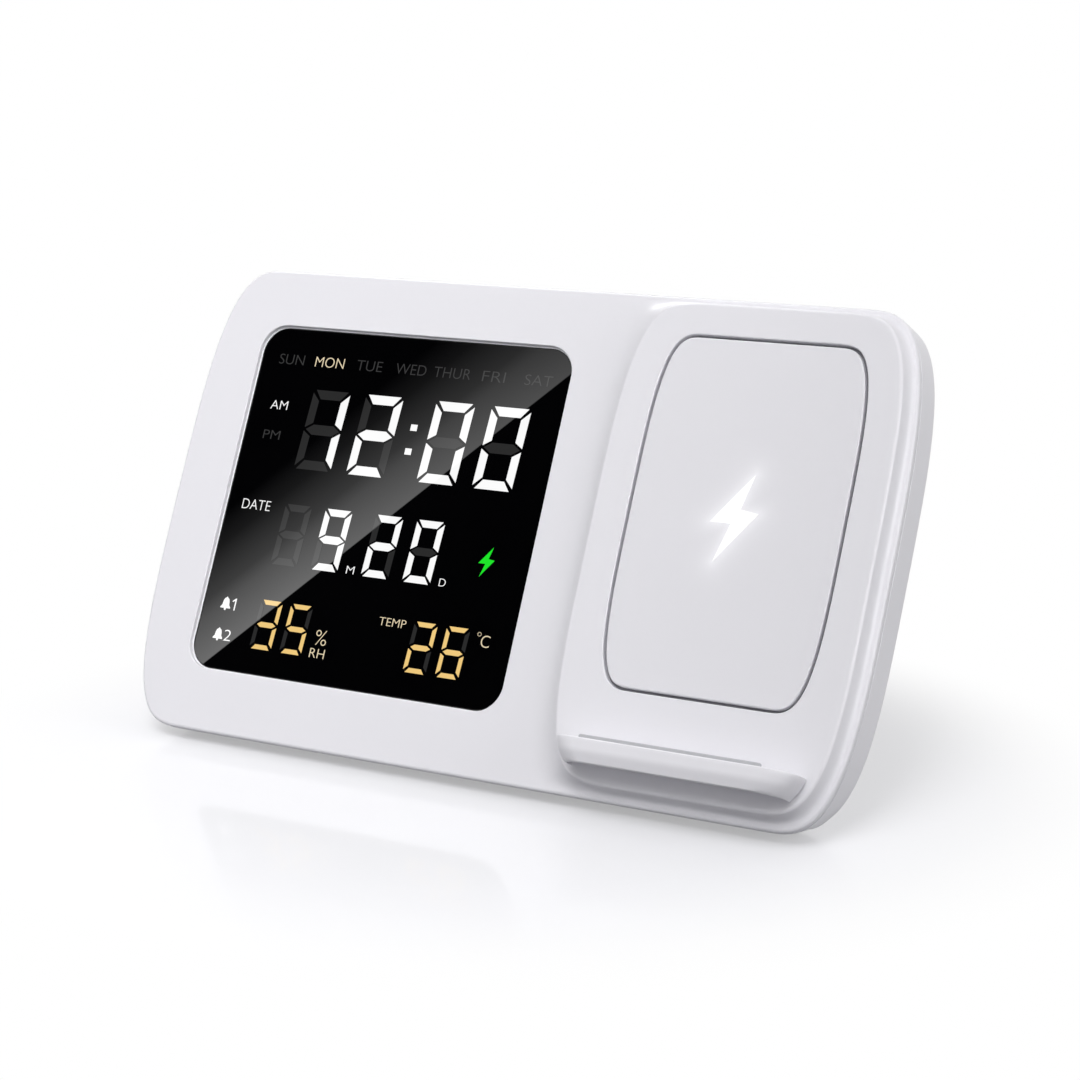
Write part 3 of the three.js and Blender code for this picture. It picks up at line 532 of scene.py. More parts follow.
@dataclass(frozen=True)
class GlowingPanel(MouldedPlastic):
    """White ABS panel, thin enough that the light under it shines through round the mark.

    The eye sees the same moulded white as the casing, and a soft halo that fades in a few
    millimetres. The halo follows the mesh's own attribute, so it keeps the mark's shape.
    """

    halo: str = "FFFFFF"

    def material(self) -> bpy.types.Material:
        """Builds the material.

        Returns:
            The material.
        """
        made = super().material()
        shader = self.shader_of(made)
        glow = add_node(made, "Attribute", {"attribute_name": "glow"})
        light = add_node(
            made, "Mix", {"data_type": "RGBA"},
            values={6: linear("000000"), 7: linear(self.halo)},
            links={0: (glow, "Fac")},
        )
        made.node_tree.links.new(light.outputs[2], shader.inputs["Emission Color"])
        shader.inputs["Emission Strength"].default_value = 1.0
        return made


@dataclass(frozen=True)
class FrostedAcrylic(MouldedPlastic):
    """Clear acrylic with a satin face that spreads the light behind it."""

    clear: float = 0.6

    def material(self) -> bpy.types.Material:
        """Builds the material.

        Returns:
            The material.
        """
        made = super().material()
        self.shader_of(made).inputs["Transmission Weight"].default_value = self.clear
        return made


@dataclass(frozen=True)
class PolishedAcrylic:
    """Smoked acrylic window, polished to a mirror gloss.

    The eye sees black depth with one clear reflection, and a trace of waviness in it.
    """

    name: str
    colour: str
    roughness: float
    ior: float = 1.49
    wave_mm: float = 30.0
    wave_depth: float = 0.02
    depth: str = "040405"

    def material(self) -> bpy.types.Material:
        """Builds the material.

        Returns:
            The material.
        """
        made = new_material(self.name)
        place = add_node(made, "TexCoord")
        wave = add_node(
            made, "TexNoise",
            values={"Scale": per_metre(self.wave_mm), "Detail": 0.0},
            links={"Vector": (place, "Object")},
        )
        bump = add_node(
            made, "Bump",
            values={"Strength": self.wave_depth, "Distance": 0.02 * MM},
            links={"Height": (wave, "Fac")},
        )
        tone = add_node(
            made, "Mix", {"data_type": "RGBA"},
            values={6: linear(self.colour), 7: linear(self.depth)},
            links={0: (wave, "Fac")},
        )
        shader = add_node(
            made, "BsdfPrincipled",
            values={"Roughness": self.roughness, "IOR": self.ior},
            links={"Base Color": (tone, 2), "Normal": (bump, "Normal")},
        )
        add_node(made, "OutputMaterial", links={"Surface": (shader, "BSDF")})
        return made


@dataclass(frozen=True)
class LitSegment:
    """A back-lit segment of the display, seen through the gloss of the window.

    The eye sees an even colour that is a trace weaker in places.
    """

    name: str
    colour: str
    strength: float
    roughness: float = 0.01
    ior: float = 1.49
    spread_mm: float = 6.0
    shade: float = 0.93
    depth: str = "040405"

    def material(self) -> bpy.types.Material:
        """Builds the material.

        Returns:
            The material.
        """
        made = new_material(self.name)
        place = add_node(made, "TexCoord")
        spread = add_node(
            made, "TexNoise",
            values={"Scale": per_metre(self.spread_mm), "Detail": 0.0},
            links={"Vector": (place, "Object")},
        )
        even = add_node(
            made, "Mix", {"data_type": "RGBA"},
            values={6: linear(self.colour), 7: linear(self.colour, self.shade)},
            links={0: (spread, "Fac")},
        )
        shader = add_node(
            made, "BsdfPrincipled",
            values={
                "Base Color": linear(self.depth), "Roughness": self.roughness, "IOR": self.ior,
                "Emission Strength": self.strength,
            },
            links={"Emission Color": (even, 2)},
        )
        add_node(made, "OutputMaterial", links={"Surface": (shader, "BSDF")})
        return made


class Light(Enum):
    """How an element of the display or the panel is lit."""

    WHITE = LitSegment("display_light_white", "FFFFFF", 1.0)
    AMBER = LitSegment("display_light_amber", "F8D183", 0.95)
    PALE = LitSegment("display_light_pale_amber", "F3E2BE", 0.9)
    GREEN = LitSegment("display_light_green", "22F32E", 0.9)
    # Unlit segments and captions give no light of their own; their faint grey is a painted glow.
    UNLIT_PAINTED_GLOW = LitSegment("display_segment_unlit_painted_glow", "282828", 1.15)
    DIM_PAINTED_GLOW = LitSegment("display_caption_unlit_painted_glow", "3A3A3A", 1.0)
    MARK = LitSegment("charge_mark_light", "FFFFFF", 1.1)


@dataclass(frozen=True)
class PlatedMetal:
    """Nickel-plated steel or enamelled copper, with fine turning or winding lines.

    The eye sees a bright metal whose highlight is broken by rings or streaks.
    """

    name: str
    colour: str
    roughness: float
    line_mm: float
    centre: Place = (0.0, 0.0, 0.0)
    rings: bool = False
    turn: float = 0.0
    uneven: float = 0.06
    shade: float = 0.8

    def material(self) -> bpy.types.Material:
        """Builds the material.

        Returns:
            The material.
        """
        made = new_material(self.name)
        place = add_node(made, "TexCoord")
        lie = add_node(
            made, "Mapping", {"vector_type": "TEXTURE"},
            values={"Location": self.centre, "Rotation": (self.turn, 0.0, 0.0)},
            links={"Vector": (place, "Object")},
        )
        lines = add_node(
            made, "TexWave",
            {"wave_type": "RINGS" if self.rings else "BANDS", "rings_direction": "Z"},
            values={"Scale": per_metre(self.line_mm) / 20, "Distortion": 0.4, "Detail": 1.0},
            links={"Vector": (lie, "Vector")},
        )
        polish = add_node(
            made, "MapRange",
            values={"To Min": self.roughness - self.uneven, "To Max": self.roughness + self.uneven},
            links={"Value": (lines, "Fac")},
        )
        tone = add_node(
            made, "Mix", {"data_type": "RGBA"},
            values={6: linear(self.colour), 7: linear(self.colour, self.shade)},
            links={0: (lines, "Fac")},
        )
        bump = add_node(
            made, "Bump",
            values={"Strength": 0.15, "Distance": 0.05 * MM},
            links={"Height": (lines, "Fac")},
        )
        shader = add_node(
            made, "BsdfPrincipled",
            values={"Metallic": 1.0},
            links={
                "Base Color": (tone, 2), "Roughness": (polish, "Result"),
                "Normal": (bump, "Normal"),
            },
        )
        add_node(made, "OutputMaterial", links={"Surface": (shader, "BSDF")})
        return made


@dataclass(frozen=True)
class SolderMask:
    """Green solder mask over copper tracks on a glass-fibre board.

    The eye sees a semi-gloss green, lighter along square-set tracks about 1 mm apart.
    """

    name: str
    colour: str
    track: str
    pitch_mm: float = 2.2
    roughness: float = 0.32
    raised: float = 0.04

    def material(self) -> bpy.types.Material:
        """Builds the material.

        Returns:
            The material.
        """
        made = new_material(self.name)
        place = add_node(made, "TexCoord")
        tracks = add_node(
            made, "TexVoronoi", {"distance": "CHEBYCHEV", "feature": "F1"},
            values={"Scale": per_metre(self.pitch_mm), "Randomness": 0.6},
            links={"Vector": (place, "Object")},
        )
        pick = add_node(
            made, "MapRange",
            values={"From Min": 0.42, "From Max": 0.46},
            links={"Value": (tracks, "Distance")},
        )
        tone = add_node(
            made, "Mix", {"data_type": "RGBA"},
            values={6: linear(self.colour), 7: linear(self.track)},
            links={0: (pick, "Result")},
        )
        bump = add_node(
            made, "Bump",
            values={"Strength": 0.3, "Distance": self.raised * MM},
            links={"Height": (pick, "Result")},
        )
        shader = add_node(
            made, "BsdfPrincipled",
            values={"Roughness": self.roughness},
            links={"Base Color": (tone, 2), "Normal": (bump, "Normal")},
        )
        add_node(made, "OutputMaterial", links={"Surface": (shader, "BSDF")})
        return made


class Finishes:
    """The clock's materials, each made once."""

    def __init__(self, casing: CasingFrame) -> None:
        """Makes the materials.

        Args:
            casing: The casing's axes, which the ring patterns follow.
        """
        low, high = casing.box("charging_coil")
        coil = tuple(casing.matrix @ ((low + high) / 2))
        turn = math.pi / 2 - casing.lean
        plastic = MouldedPlastic
        self.white_abs = plastic("moulded_white_abs", "E9E8ED", 0.34).material()
        self.ledge_abs = plastic("satin_white_abs", "E9E8ED", 0.34, grain_depth=0.03).material()
        self.key_abs = plastic("key_white_abs", "DEDEE3", 0.36).material()
        self.symbol_ink = plastic("printed_grey_ink", "6E6F75", 0.5, grain_depth=0.02).material()
        self.panel = GlowingPanel("glowing_white_panel", "E6E5EA", 0.38).material()
        self.window = PolishedAcrylic("smoked_acrylic_window", "020203", 0.005).material()
        self.silicone = plastic("matt_grey_silicone", "B9B9BE", 0.75, 0.25, specular=0.3).material()
        self.rubber = plastic("pale_moulded_rubber", "D2D2D6", 0.8, 0.5, specular=0.25).material()
        # Grey tape laid under the panel's groove: painted shade that darkens the groove.
        self.groove_shade_tape = plastic("grey_tape_painted_groove_shade", "85858A", 0.9, 0.3, 0.2, 0.2).material()
        self.gasket = plastic("white_gasket", "F1F1F4", 0.6, grain_depth=0.02).material()
        self.black_plastic = plastic("black_moulded_plastic", "1B1B1D", 0.5).material()
        self.steel = PlatedMetal("nickel_plated_steel", "C3C5C9", 0.28, 0.2).material()
        self.copper = PlatedMetal(
            "enamelled_copper_winding", "B86B3A", 0.3, 0.6, coil, True, turn,
        ).material()
        self.ferrite = plastic("pressed_ferrite", "34343A", 0.55, 0.4, 0.2).material()
        self.board = SolderMask("green_solder_mask", "1C5937", "2E7A4E").material()
        self.acrylic = FrostedAcrylic("frosted_clear_acrylic", "E3E9EC", 0.35, 0.6, 0.1).material()
        self.lcd = PolishedAcrylic("lcd_glass", "15161A", 0.12).material()
        self.lights = {light: light.value.material() for light in Light}


def make_piece(
    name: str,
    sketch: Sketch,
    place: Matrix,
    finish: bpy.types.Material,
    body: str = BODY,
    nodes: Sequence[str] = (),
    sharp: float = SHARP_ANGLE,
) -> None:
    """Turns a drawing into a piece of the clock.

    Args:
        name: Name of the piece.
        sketch: The drawing, in millimetres.
        place: Where the drawing's axes lie.
        finish: Material.
        body: CAD body that the piece rides on.
        nodes: CAD nodes that the piece stands for.
        sharp: Angle in degrees past which an edge stays sharp.
    """
    bm = sketch.bm
    bmesh.ops.remove_doubles(bm, verts=bm.verts, dist=SAME_POINT / 4)
    bmesh.ops.dissolve_degenerate(bm, edges=bm.edges, dist=SAME_POINT / 8)
    bmesh.ops.recalc_face_normals(bm, faces=bm.faces)
    open_edges = sum(1 for edge in bm.edges if len(edge.link_faces) != 2)
    for part in bm.faces:
        part.smooth = True
    mesh = bpy.data.meshes.new(name)
    bm.to_mesh(mesh)
    bm.free()
    mesh.transform(place)
    mesh.set_sharp_from_angle(angle=math.radians(sharp))
    mesh.materials.append(finish)
    piece = add_object(name, mesh)
    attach(piece, body)
    if nodes:
        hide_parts(*nodes)
    log.info("%s: %d faces, %d open edges", name, len(mesh.polygons), open_edges)


@dataclass(frozen=True)
class Screw:
    """A pan-head screw whose head faces the rear, with a cross recess."""

    x: float
    y: float
    low: float
    high: float
    head: float = 2.1
    head_thick: float = 1.3
    shank: float = 1.0
    point: float = 0.3
    dome: float = 0.35
    cross: float = 2.3
    slot: float = 0.55
    recess: float = 0.7
    recess_floor: float = 0.8

    def draw(self) -> Sketch:
        """Draws the head with its cross-shaped recess, and the shank.

        Returns:
            The drawing.
        """
        sketch = Sketch()
        line = Outline.of_circle(self.x, self.y, self.head, 12)
        shelf, shank = self.low + self.head_thick, self.shank - self.head
        rim, tip = sketch.tube(line, [
            (-self.dome - CHAMFER, self.low),
            *arc(-self.dome, self.low + self.dome, self.dome, -90, 0, 4),
            (0, shelf - CHAMFER), (-CHAMFER, shelf),
            (shank + CHAMFER, shelf), (shank, shelf + CHAMFER),
            (shank, self.high - self.point - CHAMFER), (shank - self.point, self.high),
        ])
        sketch.fill(tip)
        sketch.fill(rim, self.draw_cross(sketch))
        return sketch

    def draw_cross(self, sketch: Sketch) -> Edges:
        """Draws the recess, and returns the closed line at its mouth.

        Args:
            sketch: The screw's drawing.

        Returns:
            Edges of the mouth, for the head's face.
        """
        arm, half = self.cross / 2, self.slot / 2
        quarter = [(arm, half), (half, half), (half, arm)]
        corners = [*quarter, *((-x, y) for x, y in reversed(quarter))]
        corners += [(-x, -y) for x, y in corners]
        mouth, floor = (
            [Vector((self.x + share * x, self.y + share * y, level)) for x, y in corners]
            for share, level in ((1, self.low), (self.recess_floor, self.low + self.recess))
        )
        line = sketch.loop(mouth)
        sketch.fill(sketch.sweep(line, [floor]))
        return line


@dataclass
class Shells:
    """The front and rear shells, with their screws and the grey tape under the panel, which paints shade into its
    groove.
    """

    casing: CasingFrame
    finishes: Finishes
    body_end: float = 16.0
    body_power: float = 3.5
    front_edge: float = 0.7
    rim_depth: float = 1.5
    rim_chamfer: float = 0.12
    rear_edge: float = 3.5
    wall: float = 2.0
    inner_edge: float = 1.5
    lower_edge: float = 1.35
    lower_inner_edge: float = 0.5
    lower_inner_taper: float = 0.9
    lip_thick: float = 1.2
    lip_depth: float = 2.0
    lip_chamfer: float = 0.2
    gap: float = 0.3
    window_corner: float = 6.0
    window_lip: float = 0.2
    seat_width: float = 2.0
    seat_top: float = -2.5
    seat_end: float = -3.4
    collar: float = 1.6
    platform_w: float = 58.8
    platform_h: float = 95.8
    platform_end: float = 16.5
    platform_power: float = 4.0
    platform_offset: float = 0.25
    platform_edge: float = 0.72
    edge_from: float = 5.0
    face_strips: Pair = (-1.0, -1.6)
    soft_strips: Pair = (-0.4, -1.0)
    platform_skin: float = 1.8
    cavity_wall: float = 2.8
    cavity_steps: int = 12
    panel_end: float = 8.3
    panel_power: float = 3.7
    groove: float = 0.6
    groove_lip: float = 0.22
    recess_floor: float = 1.9
    recess_under: float = 0.7
    recess_wall: float = 1.2
    light_hole: float = 10.0
    tape_width: float = 1.2
    tape_room: float = 0.04
    tape_under: float = 0.01
    tape_over: float = 0.06
    blend_length: float = 8.0
    blend_turn: float = 46.0
    blend_roll: float = 0.9
    blend_ease: float = 2.3
    blend_starts: float = 0.15
    blend_full: float = 0.95
    rim_room: float = 0.4
    counterbore: float = 2.5
    head_hole: float = 2.4
    shank_hole: float = 1.3
    pillar: float = 3.0
    boss: float = 2.6
    boss_end: float = -5.5
    rim_roll: float = 0.25
    sound_hole: float = 0.9
    sound_ring: float = 3.4
    sound_holes: int = 6
    slot_w: float = 12.0
    slot_h: float = 1.6
    slot_pitch: float = 3.4
    slots: int = 4
    door_corner: float = 3.3
    door_shelf: float = 1.5
    door_wall: float = 1.2
    well_w: float = 51.0
    well_corner: float = 0.6
    well_floor: float = 1.0
    well_wall: float = 1.6
    well_roof: float = 3.4
    barrel_w: float = 50.9
    barrel_corner: float = 0.5
    barrel_room: float = 2.2
    barrel_drop: float = 0.02

    # The platform's steep side, as (out, level) points from its foot up to its edge.
    STEEP = (
        (1.2, 0.0), (0.95, 0.12), (0.75, 0.32), (0.58, 0.6), (0.42, 1.0), (0.28, 1.45),
        (0.15, 2.0), (0.04, 2.6),
    )

    def __post_init__(self) -> None:
        """Reads the outlines from the CAD nodes."""
        low, high = self.casing.box("rear_shell")
        self.body = Outline(
            0, 0, high.x - low.x, high.y - low.y, self.body_end, self.body_power,
        )
        self.rear_face = low.z
        self.rear_inner = low.z + self.wall
        self.window = self.around("display_lens", self.gap, self.window_corner)
        self.panel = self.around("charging_panel", 0, self.panel_end, self.panel_power)
        self.platform = Outline(
            self.panel.x, self.platform_offset, self.platform_w, self.platform_h,
            self.platform_end, self.platform_power,
        )
        self.screws = [f"shell_screw_{number}" for number in range(1, 7)]

    def around(self, node: str, extra: float, corner: float, power: float = 2.0) -> Outline:
        """Outline round a flat CAD node, grown by a gap.

        Args:
            node: Name of the CAD node.
            extra: The gap.
            corner: Radius or length of its ends.
            power: Power of its ends.

        Returns:
            The outline.
        """
        low, high = self.casing.box(node)
        middle, size = (low + high) / 2, high - low
        return Outline(
            middle.x, middle.y, size.x + 2 * extra, size.y + 2 * extra, corner, power,
        )

    def roll(self, low: float) -> list[Pair]:
        """Path over the rounded rim of an opening in the rear face, from the face inwards."""
        r, face = self.rim_roll, self.rear_face
        return [(r + SUPPORT, face), *arc(r, face + r, r, -90, -180, 3), (0, low)]

    def platform_rings(self) -> list[Ring]:
        """Rings of the raised platform, from its foot to its face.

        The sides are steep with a soft top edge and a foot that flares out. The left side is a
        long soft blend, and the corners pass from one to the other.

        Returns:
            The rings.
        """
        rise, edge, foot = PLATFORM_RISE, self.platform_edge, len(self.STEEP)
        steep = [*self.STEEP, *arc(-edge, rise - edge, edge, self.edge_from, 90, 8)]
        steep += [(out, rise) for out in self.face_strips]
        turn, roll = math.radians(self.blend_turn), self.blend_roll
        reach, top = roll * math.sin(turn), rise - roll * (1 - math.cos(turn))
        soft = []
        for t in (index / foot for index in range(foot)):
            out = self.blend_length + (reach - self.blend_length) * t
            soft.append((out, top * t**self.blend_ease))
        soft += arc(0, rise - roll, roll, 90 - self.blend_turn, 90, 8)
        soft += [(out, rise) for out in self.soft_strips]
        rings = []
        room = self.body.h / 2 - self.front_edge - self.rim_room
        blend = self.blend_full - self.blend_starts
        for (out, level), (soft_out, soft_level) in zip(steep, soft, strict=True):
            ring = []
            for point, normal in self.platform.stations:
                share = smooth((-normal.x - self.blend_starts) / blend)
                # Near the casing's rim the flare narrows, so that it stays on the front face.
                widest = (steep[0][0] * (1 - share) + soft[0][0] * share) * abs(normal.y)
                fit = min((room - abs(point.y)) / max(widest, SAME_POINT), 1) if out > 0 else 1
                spread = (out * (1 - share) + soft_out * share) * fit
                height = level * (1 - share) + soft_level * share
                ring.append((point + normal * spread).to_3d() + Vector((0, 0, height)))
            rings.append(ring)
        return rings

    def front(self) -> Sketch:
        """Draws the front shell.

        Returns:
            The drawing.
        """
        sketch = Sketch()
        under, edge = -self.rim_depth, self.front_edge
        side = [
            (-self.rim_chamfer, under), (0, under + self.rim_chamfer),
            *arc(-edge, -edge, edge, 0, 90, 8), (-edge - SUPPORT, 0),
        ]
        rim, face = sketch.tube(self.body, side)
        lip_out, lip_end = -self.wall - self.gap, under - self.lip_depth
        lip_in = lip_out - self.lip_thick
        lip = [
            (lip_out, under), (lip_out, lip_end + self.lip_chamfer),
            (lip_out - self.lip_chamfer, lip_end), (lip_in, lip_end), (lip_in, under),
        ]
        underside = [sketch.sweep(rim, self.body.rings(lip))]

        roll = self.window_lip
        window, collar = sketch.tube(self.window, [
            (roll + SUPPORT, 0), *arc(roll, -roll, roll, 90, 180, 4), (0, self.seat_top),
            (-self.seat_width, self.seat_top), (-self.seat_width, self.seat_end),
            (self.collar, self.seat_end), (self.collar, under),
        ])
        underside.append(collar)

        rings = self.platform_rings()
        foot = sketch.loop(rings[0])
        top = sketch.sweep(foot, rings[1:])
        mouth, bowl_top = self.recess(sketch)
        # Coarser than the platform's outline, because a fill leaves gaps between two fine lines.
        cavity = replace(self.platform, steps=self.cavity_steps)
        hollow = sketch.loop(cavity.ring(-self.cavity_wall, PLATFORM_RISE - self.platform_skin))
        posts, plate_posts = self.bosses(sketch)
        sketch.fill(hollow, bowl_top, *posts)
        underside.append(sketch.sweep(hollow, [cavity.ring(-self.cavity_wall, under)]))
        sketch.fill(face, window, foot)
        sketch.fill(top, mouth)
        sketch.fill(*underside, *plate_posts)
        return sketch

    def recess(self, sketch: Sketch) -> tuple[Edges, Edges]:
        """Draws the bowl that the charging panel lies in, with the hole for its light.

        Args:
            sketch: The front shell's drawing.

        Returns:
            Edges of its mouth and of its root under the platform's skin.
        """
        groove, roll, under = self.groove, self.groove_lip, self.recess_under
        mouth, floor = sketch.tube(self.panel, [
            (groove + roll + SUPPORT, PLATFORM_RISE),
            *arc(groove + roll, PLATFORM_RISE - roll, roll, 90, 180, 4),
            (groove, self.recess_floor),
        ])
        hole = Outline.of_circle(self.panel.x, self.panel.y, self.light_hole, 16)
        light = sketch.loop(hole.ring(0, self.recess_floor))
        sketch.fill(floor, light)
        light_end = sketch.sweep(light, [hole.ring(0, under)])
        out = groove + self.recess_wall
        bowl = sketch.loop(self.panel.ring(out, under))
        sketch.fill(bowl, light_end)
        ceiling = PLATFORM_RISE - self.platform_skin
        return mouth, sketch.sweep(bowl, [self.panel.ring(out, ceiling)])

    def bosses(self, sketch: Sketch) -> tuple[list[Edges], list[Edges]]:
        """Draws the bosses that the shell screws bite into.

        Args:
            sketch: The front shell's drawing.

        Returns:
            Edges of the roots under the platform's skin, and of those on the front plate.
        """
        raised, plain = [], []
        bore = self.shank_hole - self.boss
        for node in self.screws:
            tip = self.casing.box(node)[1].z
            under = tip > -self.rim_depth
            root = PLATFORM_RISE - self.platform_skin if under else -self.rim_depth
            line = Outline.of_circle(*self.casing.middle(node), self.boss, 8)
            post, end = sketch.tube(line, [
                (0, root), (0, self.boss_end), (bore, self.boss_end), (bore, tip + self.gap),
            ])
            sketch.fill(end)
            (raised if under else plain).append(post)
        return raised, plain

    def rear(self) -> Sketch:
        """Draws the rear shell with its openings.

        Returns:
            The drawing.
        """
        sketch = Sketch()
        top, low, inner = -self.rim_depth - self.gap, self.rear_face, self.rear_inner
        rim = sketch.loop(self.body.ring(-self.rim_chamfer, top))
        edge, soft, start = self.rear_edge, self.inner_edge, (0, top - self.rim_chamfer)
        tight, taper = self.lower_edge, edge - self.lower_edge
        side = [
            start, (0, low + edge + SUPPORT),
            *arc(-edge, low + edge, edge, 0, -90, 12), (-edge - SUPPORT, low),
        ]
        lower = [
            start, (-taper, low + tight + SUPPORT),
            *arc(-edge, low + tight, tight, 0, -90, 12), (-edge - SUPPORT, low),
        ]
        faces = [sketch.sweep(rim, self.body.blended(side, lower))]
        out = -self.wall
        wall = [(out, top), (out, -self.rim_depth - self.lip_depth - self.gap)]
        inside = [*wall, *arc(out - soft, inner + soft, soft, 0, -90, 4)]
        tight, taper = self.lower_inner_edge, self.lower_inner_taper
        lower = [*wall, *arc(out - taper - tight, inner + tight, tight, 0, -90, 4)]
        floors = [sketch.sweep(rim, self.body.blended(inside, lower))]

        bore, pillar = self.shank_hole - self.head_hole, self.pillar - self.head_hole
        shelf, end = low + self.counterbore, self.boss_end - self.gap
        bored = [(bore, shelf), (bore, end), (pillar, end), (pillar, inner)]
        openings = []
        for node in self.screws:
            line = Outline.of_circle(*self.casing.middle(node), self.head_hole, 10)
            openings.append(sketch.tube(line, [*self.roll(shelf), *bored]))
        for line in self.through_holes():
            openings.append(sketch.tube(line, self.roll(inner)))
        openings += [self.door_pocket(sketch), self.kick_well(sketch)]
        sketch.fill(*faces, *(mouth for mouth, _ in openings))
        sketch.fill(*floors, *(root for _, root in openings))
        return sketch

    def through_holes(self) -> list[Outline]:
        """Outlines of the openings that run straight through the rear wall.

        Returns:
            The outlines.
        """
        middle, circle = self.casing.middle, Outline.of_circle
        holes = [circle(*middle(name), Controls.radius + self.gap, 14) for name in Controls.KEYS]
        x, y = middle("buzzer")
        holes.append(circle(x, y, self.sound_hole, 6))
        for index in range(self.sound_holes):
            angle, out = index * math.tau / self.sound_holes, self.sound_ring
            across, up = x + out * math.cos(angle), y + out * math.sin(angle)
            holes.append(circle(across, up, self.sound_hole, 6))
        x, y = middle("climate_sensor")
        for index in range(self.slots):
            up = y + (index - (self.slots - 1) / 2) * self.slot_pitch
            holes.append(Outline(x, up, self.slot_w, self.slot_h, self.slot_h / 2, steps=6))
        low, high = self.casing.box("usb_socket")
        size, room = high - low, 2 * self.gap
        holes.append(Outline(
            *middle("usb_socket"), size.x + room, size.y + room, size.y / 2 + self.gap, steps=8,
        ))
        return holes

    def door_pocket(self, sketch: Sketch) -> tuple[Edges, Edges]:
        """Draws the stepped pocket behind the battery door.

        Args:
            sketch: The rear shell's drawing.

        Returns:
            Edges of its mouth and of its root on the inner floor.
        """
        line = self.around("battery_door", self.gap, self.door_corner)
        low, high = self.casing.box("cell_holder")
        shelf = self.casing.box("battery_door")[1].z + self.gap
        mouth, seat = sketch.tube(line, self.roll(shelf))
        reach = (high.x - low.x) / 2 + self.gap
        hole = Outline.of_circle(*self.casing.middle("cell_holder"), reach, 16)
        ring = sketch.loop(hole.ring(0, shelf))
        sketch.fill(seat, ring)
        top = shelf + self.door_shelf
        end = sketch.sweep(ring, [hole.ring(0, top)])
        wall = sketch.loop(line.ring(self.door_wall, top))
        sketch.fill(wall, end)
        return mouth, sketch.sweep(wall, [line.ring(self.door_wall, self.rear_inner)])

    def kick_well(self, sketch: Sketch) -> tuple[Edges, Edges]:
        """Draws the recess that the kickstand folds into.

        Args:
            sketch: The rear shell's drawing.

        Returns:
            Edges of its mouth and of its root on the inner floor.
        """
        stand = Kickstand(self.casing, self.finishes)
        low_y, high_y, axis = stand.well_low, stand.well_top, stand.hinge
        floor, deep, roof = (
            axis.z + depth for depth in (self.well_floor, self.barrel_room, self.well_roof)
        )
        middle, height = (low_y + high_y) / 2, high_y - low_y
        line = Outline(0, middle, self.well_w, height, self.well_corner, steps=3)
        mouth, leaf = sketch.tube(line, self.roll(floor))
        barrel_h = high_y - axis.y + self.barrel_room
        # The barrel's room stops just short of the well's wall, so that no two edges meet.
        up = high_y - barrel_h / 2 - self.barrel_drop
        barrel = Outline(0, up, self.barrel_w, barrel_h, self.barrel_corner, steps=3)
        step = sketch.loop(barrel.ring(0, floor))
        sketch.fill(leaf, step)
        sketch.fill(sketch.sweep(step, [barrel.ring(0, deep)]))
        block, end = sketch.tube(line, [(self.well_wall, self.rear_inner), (self.well_wall, roof)])
        sketch.fill(end)
        return mouth, block

    def build(self) -> None:
        """Builds both shells, their screws and the tape, whose grey paints shade into the panel's groove."""
        place, white = self.casing.matrix, self.finishes.white_abs
        make_piece("front_casing", self.front(), place, white, nodes=["front_shell"])
        make_piece("rear_casing", self.rear(), place, white, nodes=["rear_shell"])
        # The grey tape under the groove is painted shade.
        tape, out = Sketch(), self.groove - self.tape_room
        inner, floor = -self.tape_width, self.recess_floor
        low, high = floor + self.tape_under, floor + self.gap - self.tape_over
        tape.band(self.panel, [(inner, low), (out, low), (out, high), (inner, high)])
        make_piece("panel_tape_painted_shade", tape, place, self.finishes.groove_shade_tape)
        for node in self.screws:
            low, high = self.casing.box(node)
            screw, steel = Screw(*self.casing.middle(node), low.z, high.z), self.finishes.steel
            make_piece(f"{node}_dressed", screw.draw(), place, steel, nodes=[node])


